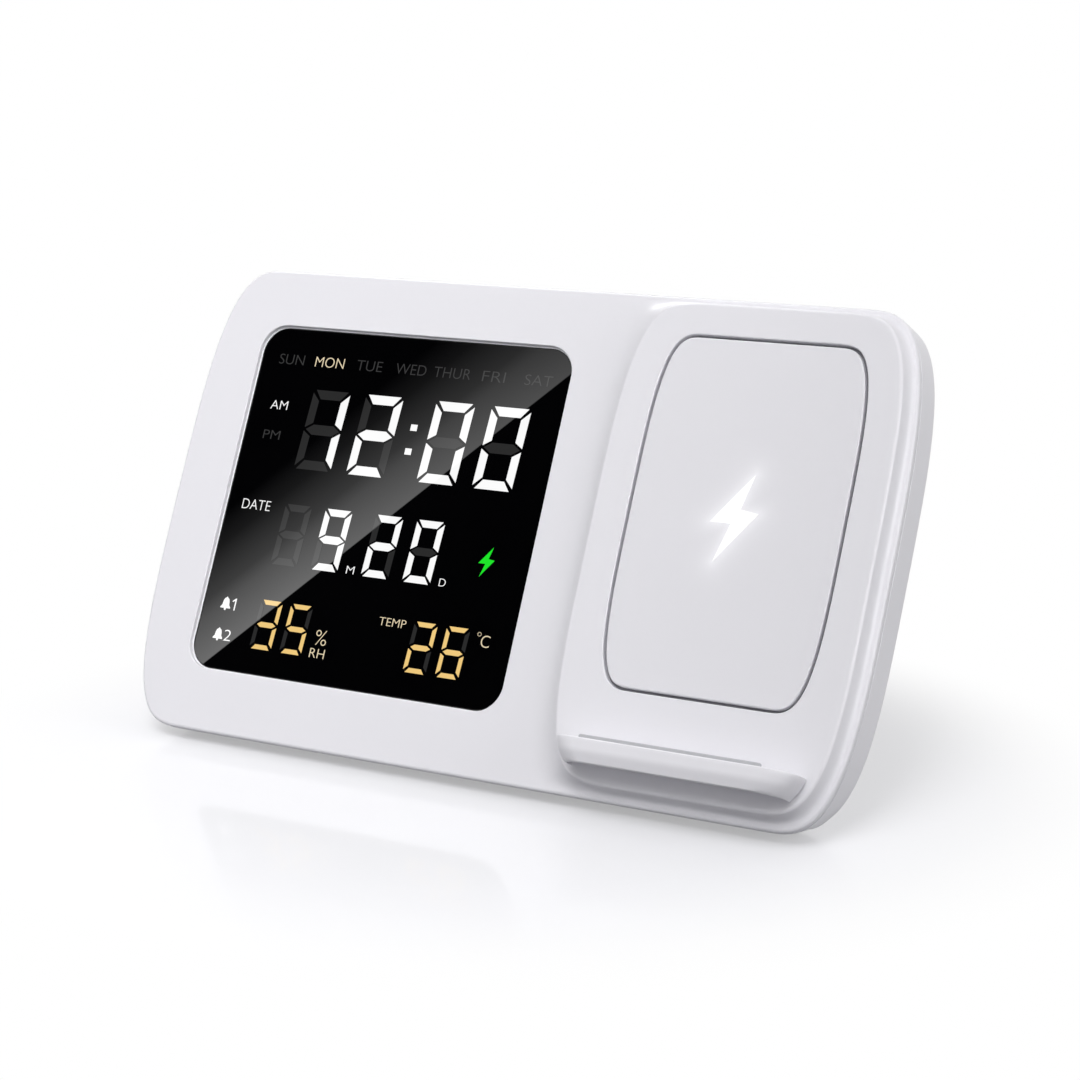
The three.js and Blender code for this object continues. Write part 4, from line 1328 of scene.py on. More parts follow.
@dataclass
class Kickstand:
    """The fold-out stand behind the casing, drawn folded in the frame of its own axis."""

    casing: CasingFrame
    finishes: Finishes
    barrel: float = 1.9
    inner: float = 0.7
    heel: float = 2.6
    heel_half: float = 0.6
    well_above: float = 0.3
    well_below: float = 0.5
    tip_corner: float = 5.0
    tip_taper: float = 4.0
    tip_taper_end: float = 6.0
    notch: float = 5.0
    notch_up: float = 16.0
    edge: float = 0.3
    edge_angle: float = 40.0
    sharp: float = 20.0

    def __post_init__(self) -> None:
        """Reads the hinge, its opening and the leaf's size from the CAD."""
        joint = next(row for row in frame["joints"] if row["name"] == "kickstand_fold")
        self.hinge = self.casing.matrix.inverted() @ Vector(joint["pos_m"])
        self.turn = math.radians(joint["range_deg"][0])
        self.place = (
            self.casing.matrix
            @ Matrix.Translation(self.hinge)
            @ Matrix.Rotation(-self.turn, 4, "X")
        )
        low, high = self.casing.box("kickstand", self.place)
        self.length, self.width = -low.y, high.x - low.x
        self.tip_width = self.width - 2 * self.tip_taper
        foot_low, _ = self.casing.box("kickstand_foot", self.place)
        self.well_top = self.hinge.y + self.heel + self.well_above
        self.well_low = self.hinge.y + foot_low.y - self.well_below

    def build(self) -> None:
        """Builds the leaf."""
        make_piece(
            "kickstand_leaf", self.leaf(), self.place, self.finishes.white_abs,
            STAND, ["kickstand"], self.sharp,
        )

    def section(self) -> list[Pair]:
        """Corners of the leaf's section through the barrel, with the heel that stops it.

        Returns:
            The corners, in order.
        """
        along = Vector((math.cos(self.turn), math.sin(self.turn)))
        across = Vector((-math.sin(self.turn), math.cos(self.turn)))
        lug = math.degrees(math.asin(self.heel_half / self.barrel))
        centre = math.degrees(self.turn)
        end = 180 - math.degrees(math.asin(self.inner / self.barrel))
        heel = [along * self.heel + across * self.heel_half * side for side in (-1, 1)]
        return [
            (-self.length, -self.barrel),
            *arc(0, 0, self.barrel, -90, centre - lug, 6),
            *((corner.x, corner.y) for corner in heel),
            *arc(0, 0, self.barrel, centre + lug, end, 14),
            (-self.length, self.inner),
        ]

    def leaf(self) -> Sketch:
        """Draws the leaf with its barrel, heel and finger notch.

        Returns:
            The drawing.
        """
        sketch, half = Sketch(), self.width / 2
        bm = sketch.bm
        sketch.prism(self.section(), -half, half)
        upright = Matrix(((0, 0, 1, 0), (1, 0, 0, 0), (0, 1, 0, 0), (0, 0, 0, 1)))
        bmesh.ops.transform(bm, matrix=upright, verts=bm.verts)
        run = self.length - self.tip_taper_end
        for side in (-1, 1):
            sketch.cut((side * half, 0, 0), (side * run, -(half - self.tip_width / 2), 0))
        near = 5 * SAME_POINT
        tips = [
            edge for edge in bm.edges
            if all(abs(vert.co.y + self.length) < near for vert in edge.verts)
            and abs(edge.verts[0].co.x - edge.verts[1].co.x) < near
        ]
        sketch.bevel(tips, self.tip_corner, 8)
        sketch.soften(self.edge, 2, self.edge_angle)
        self.cut_notch(sketch)
        return sketch

    def cut_notch(self, sketch: Sketch) -> None:
        """Cuts the finger notch into one side of the leaf.

        Args:
            sketch: The leaf's drawing.
        """
        rod = Sketch()
        at, reach = (self.width + self.tip_width) / 4, self.heel + 1
        line = Outline.of_circle(at, self.notch_up - self.length, self.notch, 10)
        rod.tower(line, [(0, -reach), (0, reach)])
        holders = []
        for part in (sketch, rod):
            bmesh.ops.recalc_face_normals(part.bm, faces=part.bm.faces)
            mesh = bpy.data.meshes.new("part")
            part.bm.to_mesh(mesh)
            holders.append(add_object("part", mesh))
        rod.bm.free()
        leaf, cutter = holders
        cut = leaf.modifiers.new("notch", "BOOLEAN")
        cut.operation, cut.object, cut.solver = "DIFFERENCE", cutter, "EXACT"
        mesh = evaluated_mesh(leaf)
        sketch.bm.clear()
        sketch.bm.from_mesh(mesh)
        for spent in (leaf.data, cutter.data, mesh):
            bpy.data.meshes.remove(spent)


def add_words(sketch: Sketch, text: str, x: Pair, y: Pair, low: float, high: float) -> None:
    """Draws a word as closed letters that fill a box.

    Args:
        sketch: Drawing that takes the word.
        text: The word.
        x: Left and right edge.
        y: Lower and upper edge.
        low: Lowest level.
        high: Highest level.
    """
    curve = bpy.data.curves.new("word", "FONT")
    curve.body = text
    curve.extrude = 0.5
    curve.resolution_u = LETTER_STEPS
    curve.offset = LETTER_THIN
    holder = add_object("word", curve)
    mesh = evaluated_mesh(holder)
    corners = [vert.co for vert in mesh.vertices]
    left, right = min(c.x for c in corners), max(c.x for c in corners)
    under, over = min(c.y for c in corners), max(c.y for c in corners)
    scale = ((x[1] - x[0]) / (right - left), (y[1] - y[0]) / (over - under), high - low, 1)
    mesh.transform(
        Matrix.Translation((x[0], y[0], (low + high) / 2))
        @ Matrix.Diagonal(scale)
        @ Matrix.Translation((-left, -under, 0))
    )
    sketch.bm.from_mesh(mesh)
    bpy.data.objects.remove(holder)
    bpy.data.curves.remove(curve)
    bpy.data.meshes.remove(mesh)


@dataclass
class Display:
    """The window and everything that shows in it.

    Places are measured from the window's centre, in millimetres.
    """

    casing: CasingFrame
    finishes: Finishes
    corner: float = 5.7
    polish: float = 0.15
    gasket_top: float = -0.05
    gasket_in: float = 0.02
    gasket_out: float = 0.28
    sunk: float = 0.06
    proud: float = 0.03
    full_height: float = 17.3
    slant: float = 0.036
    corner_cut: float = 0.57
    mitre: float = 2.15
    stroke: float = 1.97
    upright: float = 1.83
    tip: float = 0.65
    shoulder: float = 2.42
    waist_tip: float = 0.36
    waist_shoulder: float = 1.5
    bar_tip: float = 0.41
    bar_half: float = 1.1
    thin_gap: float = 1.4
    dot_w: float = 0.78
    dot_h: float = 0.67
    art: Pair = (0.45, -0.45)

    SEGMENTS = {
        "0": "abcdef", "1": "bc", "2": "abged", "3": "abgcd", "4": "fgbc", "5": "afgcd",
        "6": "afgedc", "7": "abc", "8": "abcdefg", "9": "abcdfg",
    }
    # Centres of the clock's two dots.
    DOTS = ((3.45, 18.65), (3.35, 13.55))
    # Half of a bell's outline, as shares of its height.
    BELL = (
        (0.0, 0.5), (0.07, 0.42), (0.2, 0.33), (0.27, 0.12), (0.3, -0.12), (0.44, -0.3),
        (0.42, -0.36),
    )
    # A bell's clapper: how far it lies below the centre, and its radius, as shares of the height.
    CLAPPER = (0.42, 0.09)
    # Each row of digits: its text, centres, lower and upper edge, width and share of the stroke.
    ROWS = (
        ("1200", (-18.6, -5.45, 11.8, 25.0), (7.48, 24.75), 9.2, 1.0),
        (" 920", (-20.15, -10.05, 2.38, 12.4), (-13.28, -0.25), 6.6, 1.0),
        ("3526", (-21.13, -13.58, 16.58, 24.18), (-31.35, -20.93), 5.4, 0.82),
    )
    # Lower and upper edge of the days, and each day's left and right edge.
    DAYS_Y = (29.75, 31.95)
    DAYS = {
        "SUN": (-33.55, -27.2), "MON": (-24.3, -17.05), "TUE": (-13.85, -7.5),
        "WED": (-4.1, 3.3), "THUR": (5.2, 14.0), "FRI": (16.85, 22.2), "SAT": (26.8, 33.2),
    }
    TODAY = "MON"
    # How each caption is lit, its left and right edge, and its lower and upper edge.
    CAPTIONS = {
        "AM": (Light.WHITE, (-33.0, -28.7), (19.77, 21.68)),
        "PM": (Light.DIM_PAINTED_GLOW, (-33.15, -28.9), (13.2, 15.1)),
        "DATE": (Light.WHITE, (-34.2, -27.05), (-2.28, -0.15)),
        "M": (Light.WHITE, (-4.85, -2.95), (-13.18, -11.58)),
        "D": (Light.WHITE, (17.53, 19.05), (-13.22, -11.65)),
        "2": (Light.WHITE, (-30.95, -29.2), (-30.65, -28.3)),
        "%": (Light.PALE, (-8.5, -5.7), (-28.65, -25.5)),
        "RH": (Light.PALE, (-9.05, -5.45), (-31.32, -29.4)),
        "TEMP": (Light.PALE, (5.7, 12.1), (-22.7, -21.05)),
        "°": (Light.PALE, (28.85, 29.75), (-22.1, -21.25)),
        "C": (Light.PALE, (29.95, 31.95), (-24.2, -21.75)),
    }
    # Lower left corner of the small one, and each bell's centre and height.
    ONE_AT = (-30.75, -24.1)
    BELLS = ((-32.32, -22.8, 2.9), (-32.46, -29.4, 2.8))
    BOLT_BOX = ((25.46, 29.04), (-10.27, -4.04))

    def __post_init__(self) -> None:
        """Reads the window's place."""
        low, high = self.casing.box("display_lens")
        centre = (low + high) / 2
        self.size = high - low
        self.depth = low.z - high.z
        self.place = self.casing.matrix @ Matrix.Translation((centre.x, centre.y, high.z))
        self.line = Outline(0, 0, self.size.x, self.size.y, self.corner)

    def gasket(self) -> Sketch:
        """Draws the pale gasket in the gap between the window and the casing.

        Returns:
            The drawing.
        """
        sketch = Sketch()
        top, low, near, far = self.gasket_top, self.depth, self.gasket_in, self.gasket_out
        sketch.band(self.line, [(near, top), (far, top), (far, low), (near, low)])
        return sketch

    def window(self) -> Sketch:
        """Draws the polished window."""
        sketch, soft, low = Sketch(), self.polish, self.depth
        sketch.tower(self.line, [
            (-CHAMFER, low), (0, low + CHAMFER), *arc(-soft, -soft, soft, 0, 90, 4),
            (-soft - SUPPORT, 0),
        ])
        return sketch

    def segment(self, letter: str, w: float, h: float, weight: float) -> list[Pair]:
        """Corners of one segment of a digit.

        Args:
            letter: Segment from a to g, clockwise from the top, with g in the middle.
            w: Digit's width.
            h: Digit's height.
            weight: Share of the full stroke; a thinner one also leaves wider gaps.

        Returns:
            Corners about the digit's centre.
        """
        k, x, y = h / self.full_height, w / 2, h / 2
        gap = (1 - weight) * self.thin_gap * k
        if letter in "ad":
            outer = x - self.corner_cut * k - gap
            inner = outer - (self.mitre - self.corner_cut) * k * weight
            low = y - self.stroke * k * weight
            points = [(-outer, y), (outer, y), (inner, low), (-inner, low)]
        elif letter == "g":
            end, half = x - self.bar_tip * k - gap, self.bar_half * k * weight
            side = end - (self.mitre - self.bar_tip) * k * weight
            points = [(-end, 0), (-side, half), (side, half)]
            points += [(-px, -py) for px, py in points]
        else:
            inner = x - self.upright * k * weight
            top, bottom = y - self.tip * k - gap, self.waist_tip * k + gap
            points = [
                (x, top), (inner, top - (self.shoulder - self.tip) * k * weight),
                (inner, bottom + (self.waist_shoulder - self.waist_tip) * k * weight), (x, bottom),
            ]
        across, up = (-1 if letter in "ef" else 1), (-1 if letter in "cde" else 1)
        return [(px * across + self.slant * py * up, py * up) for px, py in points]

    def digits(
        self, lit: Sketch, unlit: Sketch, text: str, places: Sequence[float], y: Pair,
        w: float, weight: float,
    ) -> None:
        """Draws seven-segment digits, lit and unlit segments apart.

        Args:
            lit: Drawing of the lit segments.
            unlit: Drawing of the unlit segments.
            text: Digits, with a space for one that is all unlit.
            places: Centre of each digit.
            y: Lowest and highest edge.
            w: Width of a digit.
            weight: Share of the full stroke.
        """
        middle, h = sum(y) / 2, y[1] - y[0]
        for digit, x in zip(text, places, strict=True):
            for letter in "abcdefg":
                points = self.segment(letter, w, h, weight)
                sketch = lit if letter in self.SEGMENTS.get(digit, "") else unlit
                self.sign(sketch, points, (x, middle))

    def sign(
        self, sketch: Sketch, points: Iterable[Pair], at: Pair, scale: Pair = (1, 1),
    ) -> None:
        """Draws a flat sign.

        Args:
            sketch: Drawing that takes the sign.
            points: Its corners.
            at: Where their origin lies.
            scale: Size of one unit, across and up.
        """
        corners = [(at[0] + x * scale[0], at[1] + y * scale[1]) for x, y in points]
        sketch.prism(corners, -self.sunk, self.proud)

    def bell(self, sketch: Sketch, x: float, y: float, size: float) -> None:
        """Draws an alarm bell of a given height about a centre.

        Args:
            sketch: Drawing that takes the bell.
            x: Centre to the right.
            y: Centre upwards.
            size: Height.
        """
        outline = [*self.BELL, *((-px, py) for px, py in reversed(self.BELL[1:]))]
        self.sign(sketch, outline, (x, y), (size, size))
        drop, radius = self.CLAPPER
        clapper = Outline.of_circle(x, y - drop * size, radius * size, 4)
        sketch.tower(clapper, [(0, -self.sunk), (0, self.proud)])

    def build(self) -> None:
        """Builds the window and its lit and unlit elements."""
        finishes, place = self.finishes, self.place
        make_piece(
            "display_window", self.window(), place, finishes.window,
            nodes=["display_lens"],
        )
        make_piece("window_gasket", self.gasket(), place, finishes.gasket)
        clock, ghosts, date, climate = Sketch(), Sketch(), Sketch(), Sketch()
        for sketch, row in zip((clock, date, climate), self.ROWS, strict=True):
            self.digits(sketch, ghosts, *row)
        w, h = self.dot_w, self.dot_h
        for at in self.DOTS:
            self.sign(clock, [(-w, -h), (w, -h), (w, h), (-w, h)], at)
        words = {Light.WHITE: Sketch(), Light.DIM_PAINTED_GLOW: Sketch(), Light.PALE: Sketch()}
        for name, x in self.DAYS.items():
            light = Light.PALE if name == self.TODAY else Light.DIM_PAINTED_GLOW
            add_words(words[light], name, x, self.DAYS_Y, -self.sunk, self.proud)
        for text, (light, x, y) in self.CAPTIONS.items():
            add_words(words[light], text, x, y, -self.sunk, self.proud)
        self.sign(words[Light.WHITE], ONE, self.ONE_AT)
        for x, y, size in self.BELLS:
            self.bell(words[Light.WHITE], x, y, size)
        green, ((left, right), (under, over)) = Sketch(), self.BOLT_BOX
        self.sign(green, BOLT, (left, under), (right - left, over - under))
        # The unlit segments and captions are drawn with a painted glow, which gives their faint grey under the
        # window.
        pieces = (
            ("clock_digits", clock, Light.WHITE), ("date_digits", date, Light.WHITE),
            ("climate_digits", climate, Light.AMBER), ("unlit_segments_painted_glow", ghosts, Light.UNLIT_PAINTED_GLOW),
            ("white_captions", words[Light.WHITE], Light.WHITE),
            ("unlit_captions_painted_glow", words[Light.DIM_PAINTED_GLOW], Light.DIM_PAINTED_GLOW),
            ("pale_captions", words[Light.PALE], Light.PALE),
            ("charging_symbol", green, Light.GREEN),
        )
        art = place @ Matrix.Translation((*self.art, 0))
        for name, sketch, light in pieces:
            make_piece(name, sketch, art, finishes.lights[light])


@dataclass
class Charger:
    """The inset panel of the charging platform and its glowing mark."""

    casing: CasingFrame
    finishes: Finishes
    edge: float = 0.35
    mark_w: float = 9.6
    mark_h: float = 17.5
    mark_low: float = -0.08
    mark_high: float = 0.03
    grid_margin: float = 6.0
    cell: float = 0.8
    reach: float = 1.7
    strength: float = 0.16

    def __post_init__(self) -> None:
        """Reads the panel's place."""
        low, high = self.casing.box("charging_panel")
        centre = (low + high) / 2
        self.size = high - low
        self.place = self.casing.matrix @ Matrix.Translation((centre.x, centre.y, high.z))
        self.mark = [((px - 0.5) * self.mark_w, (py - 0.5) * self.mark_h) for px, py in BOLT]

    def panel(self) -> Sketch:
        """Draws the panel, with a fine grid on its face that carries the glow.

        Returns:
            The drawing.
        """
        sketch = Sketch()
        line = Outline(0, 0, self.size.x, self.size.y, Shells.panel_end, Shells.panel_power)
        depth, soft = -self.size.z, self.edge
        sketch.tower(line, [
            (-CHAMFER, depth), (0, depth + CHAMFER), *arc(-soft, -soft, soft, 0, 90, 5),
            (-soft - SUPPORT, 0),
        ])
        bm = sketch.bm
        for axis, length in enumerate((self.mark_w, self.mark_h)):
            half = length / 2 + self.grid_margin
            count = round(2 * half / self.cell)
            normal = Vector([float(axis == 0), float(axis == 1), 0.0])
            for index in range(count + 1):
                at = normal * (-half + 2 * half * index / count)
                top = [f for f in bm.faces if all(vert.co.z > -SAME_POINT for vert in f.verts)]
                rims = dict.fromkeys(item for face in top for item in (*face.edges, *face.verts))
                bmesh.ops.bisect_plane(bm, geom=[*top, *rims], plane_co=at, plane_no=normal)
        glow = bm.verts.layers.float.new("glow")
        for vert in bm.verts:
            if vert.co.z > -SAME_POINT:
                vert[glow] = self.strength * math.exp(-self.distance(vert.co) / self.reach)
        return sketch

    def distance(self, point: Vector) -> float:
        """Distance in millimetres from a point of the face to the mark, zero inside it.

        Args:
            point: The point.

        Returns:
            The distance.
        """
        x, y = point.x, point.y
        inside, best = False, math.inf
        for (ax, ay), (bx, by) in zip(self.mark, self.mark[1:] + self.mark[:1], strict=True):
            if (ay > y) != (by > y) and x < (bx - ax) * (y - ay) / (by - ay) + ax:
                inside = not inside
            dx, dy = bx - ax, by - ay
            t = min(max(((x - ax) * dx + (y - ay) * dy) / (dx * dx + dy * dy), 0), 1)
            best = min(best, math.hypot(x - ax - t * dx, y - ay - t * dy))
        return 0.0 if inside else best

    def build(self) -> None:
        """Builds the panel and the mark."""
        finishes = self.finishes
        make_piece(
            "charging_face", self.panel(), self.place, finishes.panel,
            nodes=["charging_panel"],
        )
        mark = Sketch()
        mark.prism(self.mark, self.mark_low, self.mark_high)
        make_piece("charge_mark", mark, self.place, finishes.lights[Light.MARK])


@dataclass
class PhoneLedge:
    """The shelf at the foot of the platform, with its silicone strip."""

    casing: CasingFrame
    finishes: Finishes
    platform: Outline
    inset: float = 2.0
    corner: float = 5.5
    edge: float = 0.35
    nose: float = 4.4
    undercut: float = 0.8
    bulge: float = 0.5
    nose_steps: int = 8
    slot: float = 0.3
    strip_edge: float = 0.35
    strip_drop: float = 0.3

    # How far the top face's outline runs in, and how much its corners tighten there.
    TOP = ((0.3, 0.6), (0.1, 0.4))
    # From the nose on, how far the underside rises and runs in.
    UNDERSIDE = ((-0.18, 0.35), (-0.2, 0.9), (0.3, 1.3), (0.55, 1.8))

    def __post_init__(self) -> None:
        """Reads the ledge's place."""
        self.low, self.high = self.casing.box("phone_ledge")
        self.strip = self.casing.box("grip_strip")

    def ring(self, y: float, front: float, corner: float | None = None) -> Ring:
        """Plan of the ledge at one height, with X and Z as its axes and rounded front corners.

        Args:
            y: The height.
            front: How far it reaches out.
            corner: Radius of its corners, if not the ledge's own.

        Returns:
            The plan's points.
        """
        line = self.platform
        half = min((self.high.x - self.low.x) / 2, line.half_width(y) - self.inset)
        plan = Outline(line.x, 0, 2 * half, 2 * front, corner or self.corner, steps=14)
        return [Vector((point.x, y, point.y)) for point, _ in plan.stations]

    def shelf(self) -> Sketch:
        """Draws the shelf from its top face round its bulged front to its underside.

        Returns:
            The drawing.
        """
        sketch = Sketch()
        top, reach, roll = self.high.y, self.high.z, self.edge
        rings = [self.ring(top, reach - roll - run, self.corner - less) for run, less in self.TOP]
        for out, level in arc(0, 0, roll, 90, 0, 5)[1:]:
            front, corner = reach - roll + out, self.corner - roll + out
            rings.append(self.ring(top - roll + level, front, corner))
        for step in range(1, self.nose_steps + 1):
            t = step / self.nose_steps
            back = self.undercut * t * t - self.bulge * math.sin(math.pi * t) * (1 - t)
            rings.append(self.ring(top - roll - (self.nose - roll) * t, reach - max(back, 0)))
        nose_y, nose_z = top - self.nose, reach - self.undercut
        rings += [self.ring(nose_y + rise, nose_z - run) for rise, run in self.UNDERSIDE]
        first = sketch.loop(rings[0])
        sketch.fill(sketch.sweep(first, rings[1:]))
        low, high = self.strip
        middle, room = ((low.x + high.x) / 2, (low.z + high.z) / 2), 2 * self.slot
        width = high.z - low.z + room
        groove = Outline(*middle, high.x - low.x + room, width, width / 2, steps=8)
        mouth = sketch.loop([Vector((p.x, top, p.y)) for p, _ in groove.stations])
        floor = [Vector((p.x, low.y - self.slot, p.y)) for p, _ in groove.stations]
        sketch.fill(sketch.sweep(mouth, [floor]))
        sketch.fill(first, mouth)
        sketch.cut((0, 0, self.low.z), (0, 0, -1))
        return sketch

    def grip(self) -> Sketch:
        """Draws the strip, with its upper edge rounded over.

        Returns:
            The drawing.
        """
        low, high = self.strip
        sketch, width, soft = Sketch(), high.z - low.z, self.strip_edge
        end = width / 2 - SAME_POINT / 2
        line = Outline((low.x + high.x) / 2, 0, high.x - low.x, width, end, steps=8)
        top = high.y - self.strip_drop
        sketch.tower(line, [
            (-CHAMFER, low.y), (0, low.y + CHAMFER), *arc(-soft, top - soft, soft, 0, 90, 5),
            (-soft - SUPPORT, top),
        ])
        middle = Matrix.Translation((0, 0, (low.z + high.z) / 2))
        turn = middle @ Matrix.Rotation(-math.pi / 2, 4, "X")
        bmesh.ops.transform(sketch.bm, matrix=turn, verts=sketch.bm.verts)
        return sketch

    def build(self) -> None:
        """Builds the shelf and its strip."""
        place, finishes = self.casing.matrix, self.finishes
        make_piece(
            "phone_shelf", self.shelf(), place, finishes.ledge_abs,
            nodes=["phone_ledge"],
        )
        make_piece(
            "silicone_strip", self.grip(), place, finishes.silicone,
            nodes=["grip_strip"],
        )


@dataclass
class Controls:
    """The five rear keys, each on its own sprung body, and the words under them."""

    casing: CasingFrame
    finishes: Finishes
    radius: float = 3.2
    edge: float = 0.4
    dish: float = 0.25
    rim: float = 0.6
    rim_slope: float = 0.02
    word_drop: float = 4.9
    word_height: float = 1.6
    ink_sunk: float = 0.05
    ink_proud: float = 0.02

    # For each key's node, the body that it rides on, its word and the word's width.
    KEYS = {
        "button_set": ("set_key", "SET", 4.2), "button_down": ("down_key", "DOWN", 6.0),
        "button_up": ("up_key", "UP", 2.9), "button_alarm": ("alarm_key", "ALARM", 7.0),
        "button_light": ("light_key", "LIGHT", 6.2),
    }
    # Shares of the radius at which the dish is drawn.
    DISH = (0.93, 0.75, 0.6, 0.45, 0.3)

    def key(self, node: str) -> Sketch:
        """Draws one key with a dished face and its retaining rim.

        Args:
            node: Name of the key's CAD node.

        Returns:
            The drawing.
        """
        sketch = Sketch()
        low, high = self.casing.box(node)
        line = Outline.of_circle(*self.casing.middle(node), self.radius, 14)
        rim, shoulder = (high.x - low.x) / 2 - self.radius, high.z - self.rim
        soft, face, quarter = self.edge, low.z, math.pi / 2
        sketch.tower(line, [
            *((-self.radius * s, face + self.dish * math.sin(s * quarter)) for s in self.DISH),
            *arc(-soft, face + soft, soft, -90, 0, 5),
            (0, shoulder - self.rim_slope), (rim, shoulder), (rim, high.z),
        ])
        return sketch

    def build(self) -> None:
        """Builds the keys and the words printed under them."""
        words, matrix, white = Sketch(), self.casing.matrix, self.finishes.key_abs
        for node, (body, text, width) in self.KEYS.items():
            make_piece(f"{node}_key", self.key(node), matrix, white, body, [node])
            x, y = self.casing.middle(node)
            top = y - self.word_drop
            across, up = (-x - width / 2, -x + width / 2), (top - self.word_height, top)
            add_words(words, text, across, up, -self.ink_sunk, self.ink_proud)
        rear = self.casing.box("rear_shell")[0].z
        place = matrix @ Matrix.Translation((0, 0, rear)) @ Matrix.Rotation(math.pi, 4, "Y")
        make_piece("key_words", words, place, self.finishes.symbol_ink)


@dataclass
class BatteryBay:
    """The door over the backup cell, with its screw."""

    casing: CasingFrame
    finishes: Finishes
    corner: float = 3.0
    soft: float = 0.3
    screw_hole: float = 2.4
    screw_roll: float = 0.2
    screw_seat: float = 1.2
    screw_step: float = -1.1
    screw_head: float = 0.8
    screw_recess: float = 0.5

    def door(self) -> Sketch:
        """Draws the door with the counterbore of its screw.

        Returns:
            The drawing.
        """
        low, high = self.casing.box("battery_door")
        sketch, r, middle = Sketch(), self.soft, self.casing.middle
        line = Outline(
            *middle("battery_door"), high.x - low.x, high.y - low.y, self.corner, steps=8,
        )
        back, face = sketch.tube(line, [
            (0, high.z), *arc(-r, low.z + r, r, 0, -90, 4), (-r - SUPPORT, low.z),
        ])
        hole = Outline.of_circle(*middle("battery_door_screw"), self.screw_hole, 10)
        roll, step, seat = self.screw_roll, self.screw_step, low.z + self.screw_seat
        mouth, end = sketch.tube(hole, [
            (roll + SUPPORT, low.z), *arc(roll, low.z + roll, roll, -90, -180, 3), (0, seat),
            (step, seat), (step, high.z),
        ])
        sketch.fill(face, mouth)
        sketch.fill(back, end)
        return sketch

    def build(self) -> None:
        """Builds the door and its screw."""
        place, finishes, node = self.casing.matrix, self.finishes, "battery_door_screw"
        make_piece(
            "battery_hatch", self.door(), place, finishes.white_abs,
            nodes=["battery_door"],
        )
        low, high = self.casing.box(node)
        screw = Screw(
            *self.casing.middle(node), low.z, high.z, head_thick=self.screw_head,
            recess=self.screw_recess,
        )
        make_piece(
            "battery_hatch_screw", screw.draw(), place, finishes.steel, nodes=[node],
        )


def dress_nodes(finishes: Finishes) -> None:
    """Gives every CAD node that stays its material.

    Args:
        finishes: The clock's materials.
    """
    dressed = {
        "steel": finishes.steel, "circuit_board": finishes.board, "copper": finishes.copper,
        "ferrite": finishes.ferrite, "clear_acrylic": finishes.acrylic, "lcd_glass": finishes.lcd,
        "black_plastic": finishes.black_plastic, "grey_silicone": finishes.silicone,
        "pale_rubber": finishes.rubber, "white_abs": finishes.white_abs,
        "black_lens": finishes.window, "white_panel": finishes.panel,
    }
    slots = {row["node"]: row["material_slot"] for row in frame["record"]["subparts"]}
    for name, node in frame["nodes"].items():
        finish = dressed[slots[name]]
        node.data.materials.clear()
        node.data.materials.append(finish)
        log.info("%s: %s", name, finish.name)


def seen_ray(material: bpy.types.Material | bpy.types.World) -> bpy.types.Node:
    """Node that is one for what the camera sees, also in gloss and through glass.

    Args:
        material: Material or world that takes the nodes.

    Returns:
        The node, whose Value drives a mix.
    """
    path = add_node(material, "LightPath")
    gloss = add_node(
        material, "Math", {"operation": "MAXIMUM"},
        links={0: (path, "Is Camera Ray"), 1: (path, "Is Glossy Ray")},
    )
    return add_node(
        material, "Math", {"operation": "MAXIMUM"},
        links={0: (gloss, "Value"), 1: (path, "Is Transmission Ray")},
    )


def stage_sheet(name: str, half: float, material: bpy.types.Material) -> bpy.types.Object:
    """Adds a square sheet of a given half width that belongs to the studio.

    Args:
        name: Its name.
        half: Half of its width.
        material: Its material.

    Returns:
        The sheet.
    """
    bm = bmesh.new()
    bmesh.ops.create_grid(bm, x_segments=1, y_segments=1, size=half)
    mesh = bpy.data.meshes.new(name)
    bm.to_mesh(mesh)
    bm.free()
    mesh.materials.append(material)
    sheet = add_object(name, mesh)
    return sheet


@dataclass(frozen=True)
class Lamp:
    """A soft square lamp, with lengths in metres and power in watts."""

    name: str
    place: Place
    size: float
    power: float
    aim: Place = (0.0, 0.0, 0.05)

    def build(self) -> bpy.types.Object:
        """Hangs the lamp, and returns it.

        Returns:
            The lamp.
        """
        data = bpy.data.lights.new(self.name, "AREA")
        data.energy, data.size = self.power, self.size
        lamp = add_object(self.name, data)
        lamp.location = self.place
        look = Vector(self.aim) - Vector(self.place)
        lamp.rotation_euler = look.to_track_quat("-Z", "Y").to_euler()
        return lamp


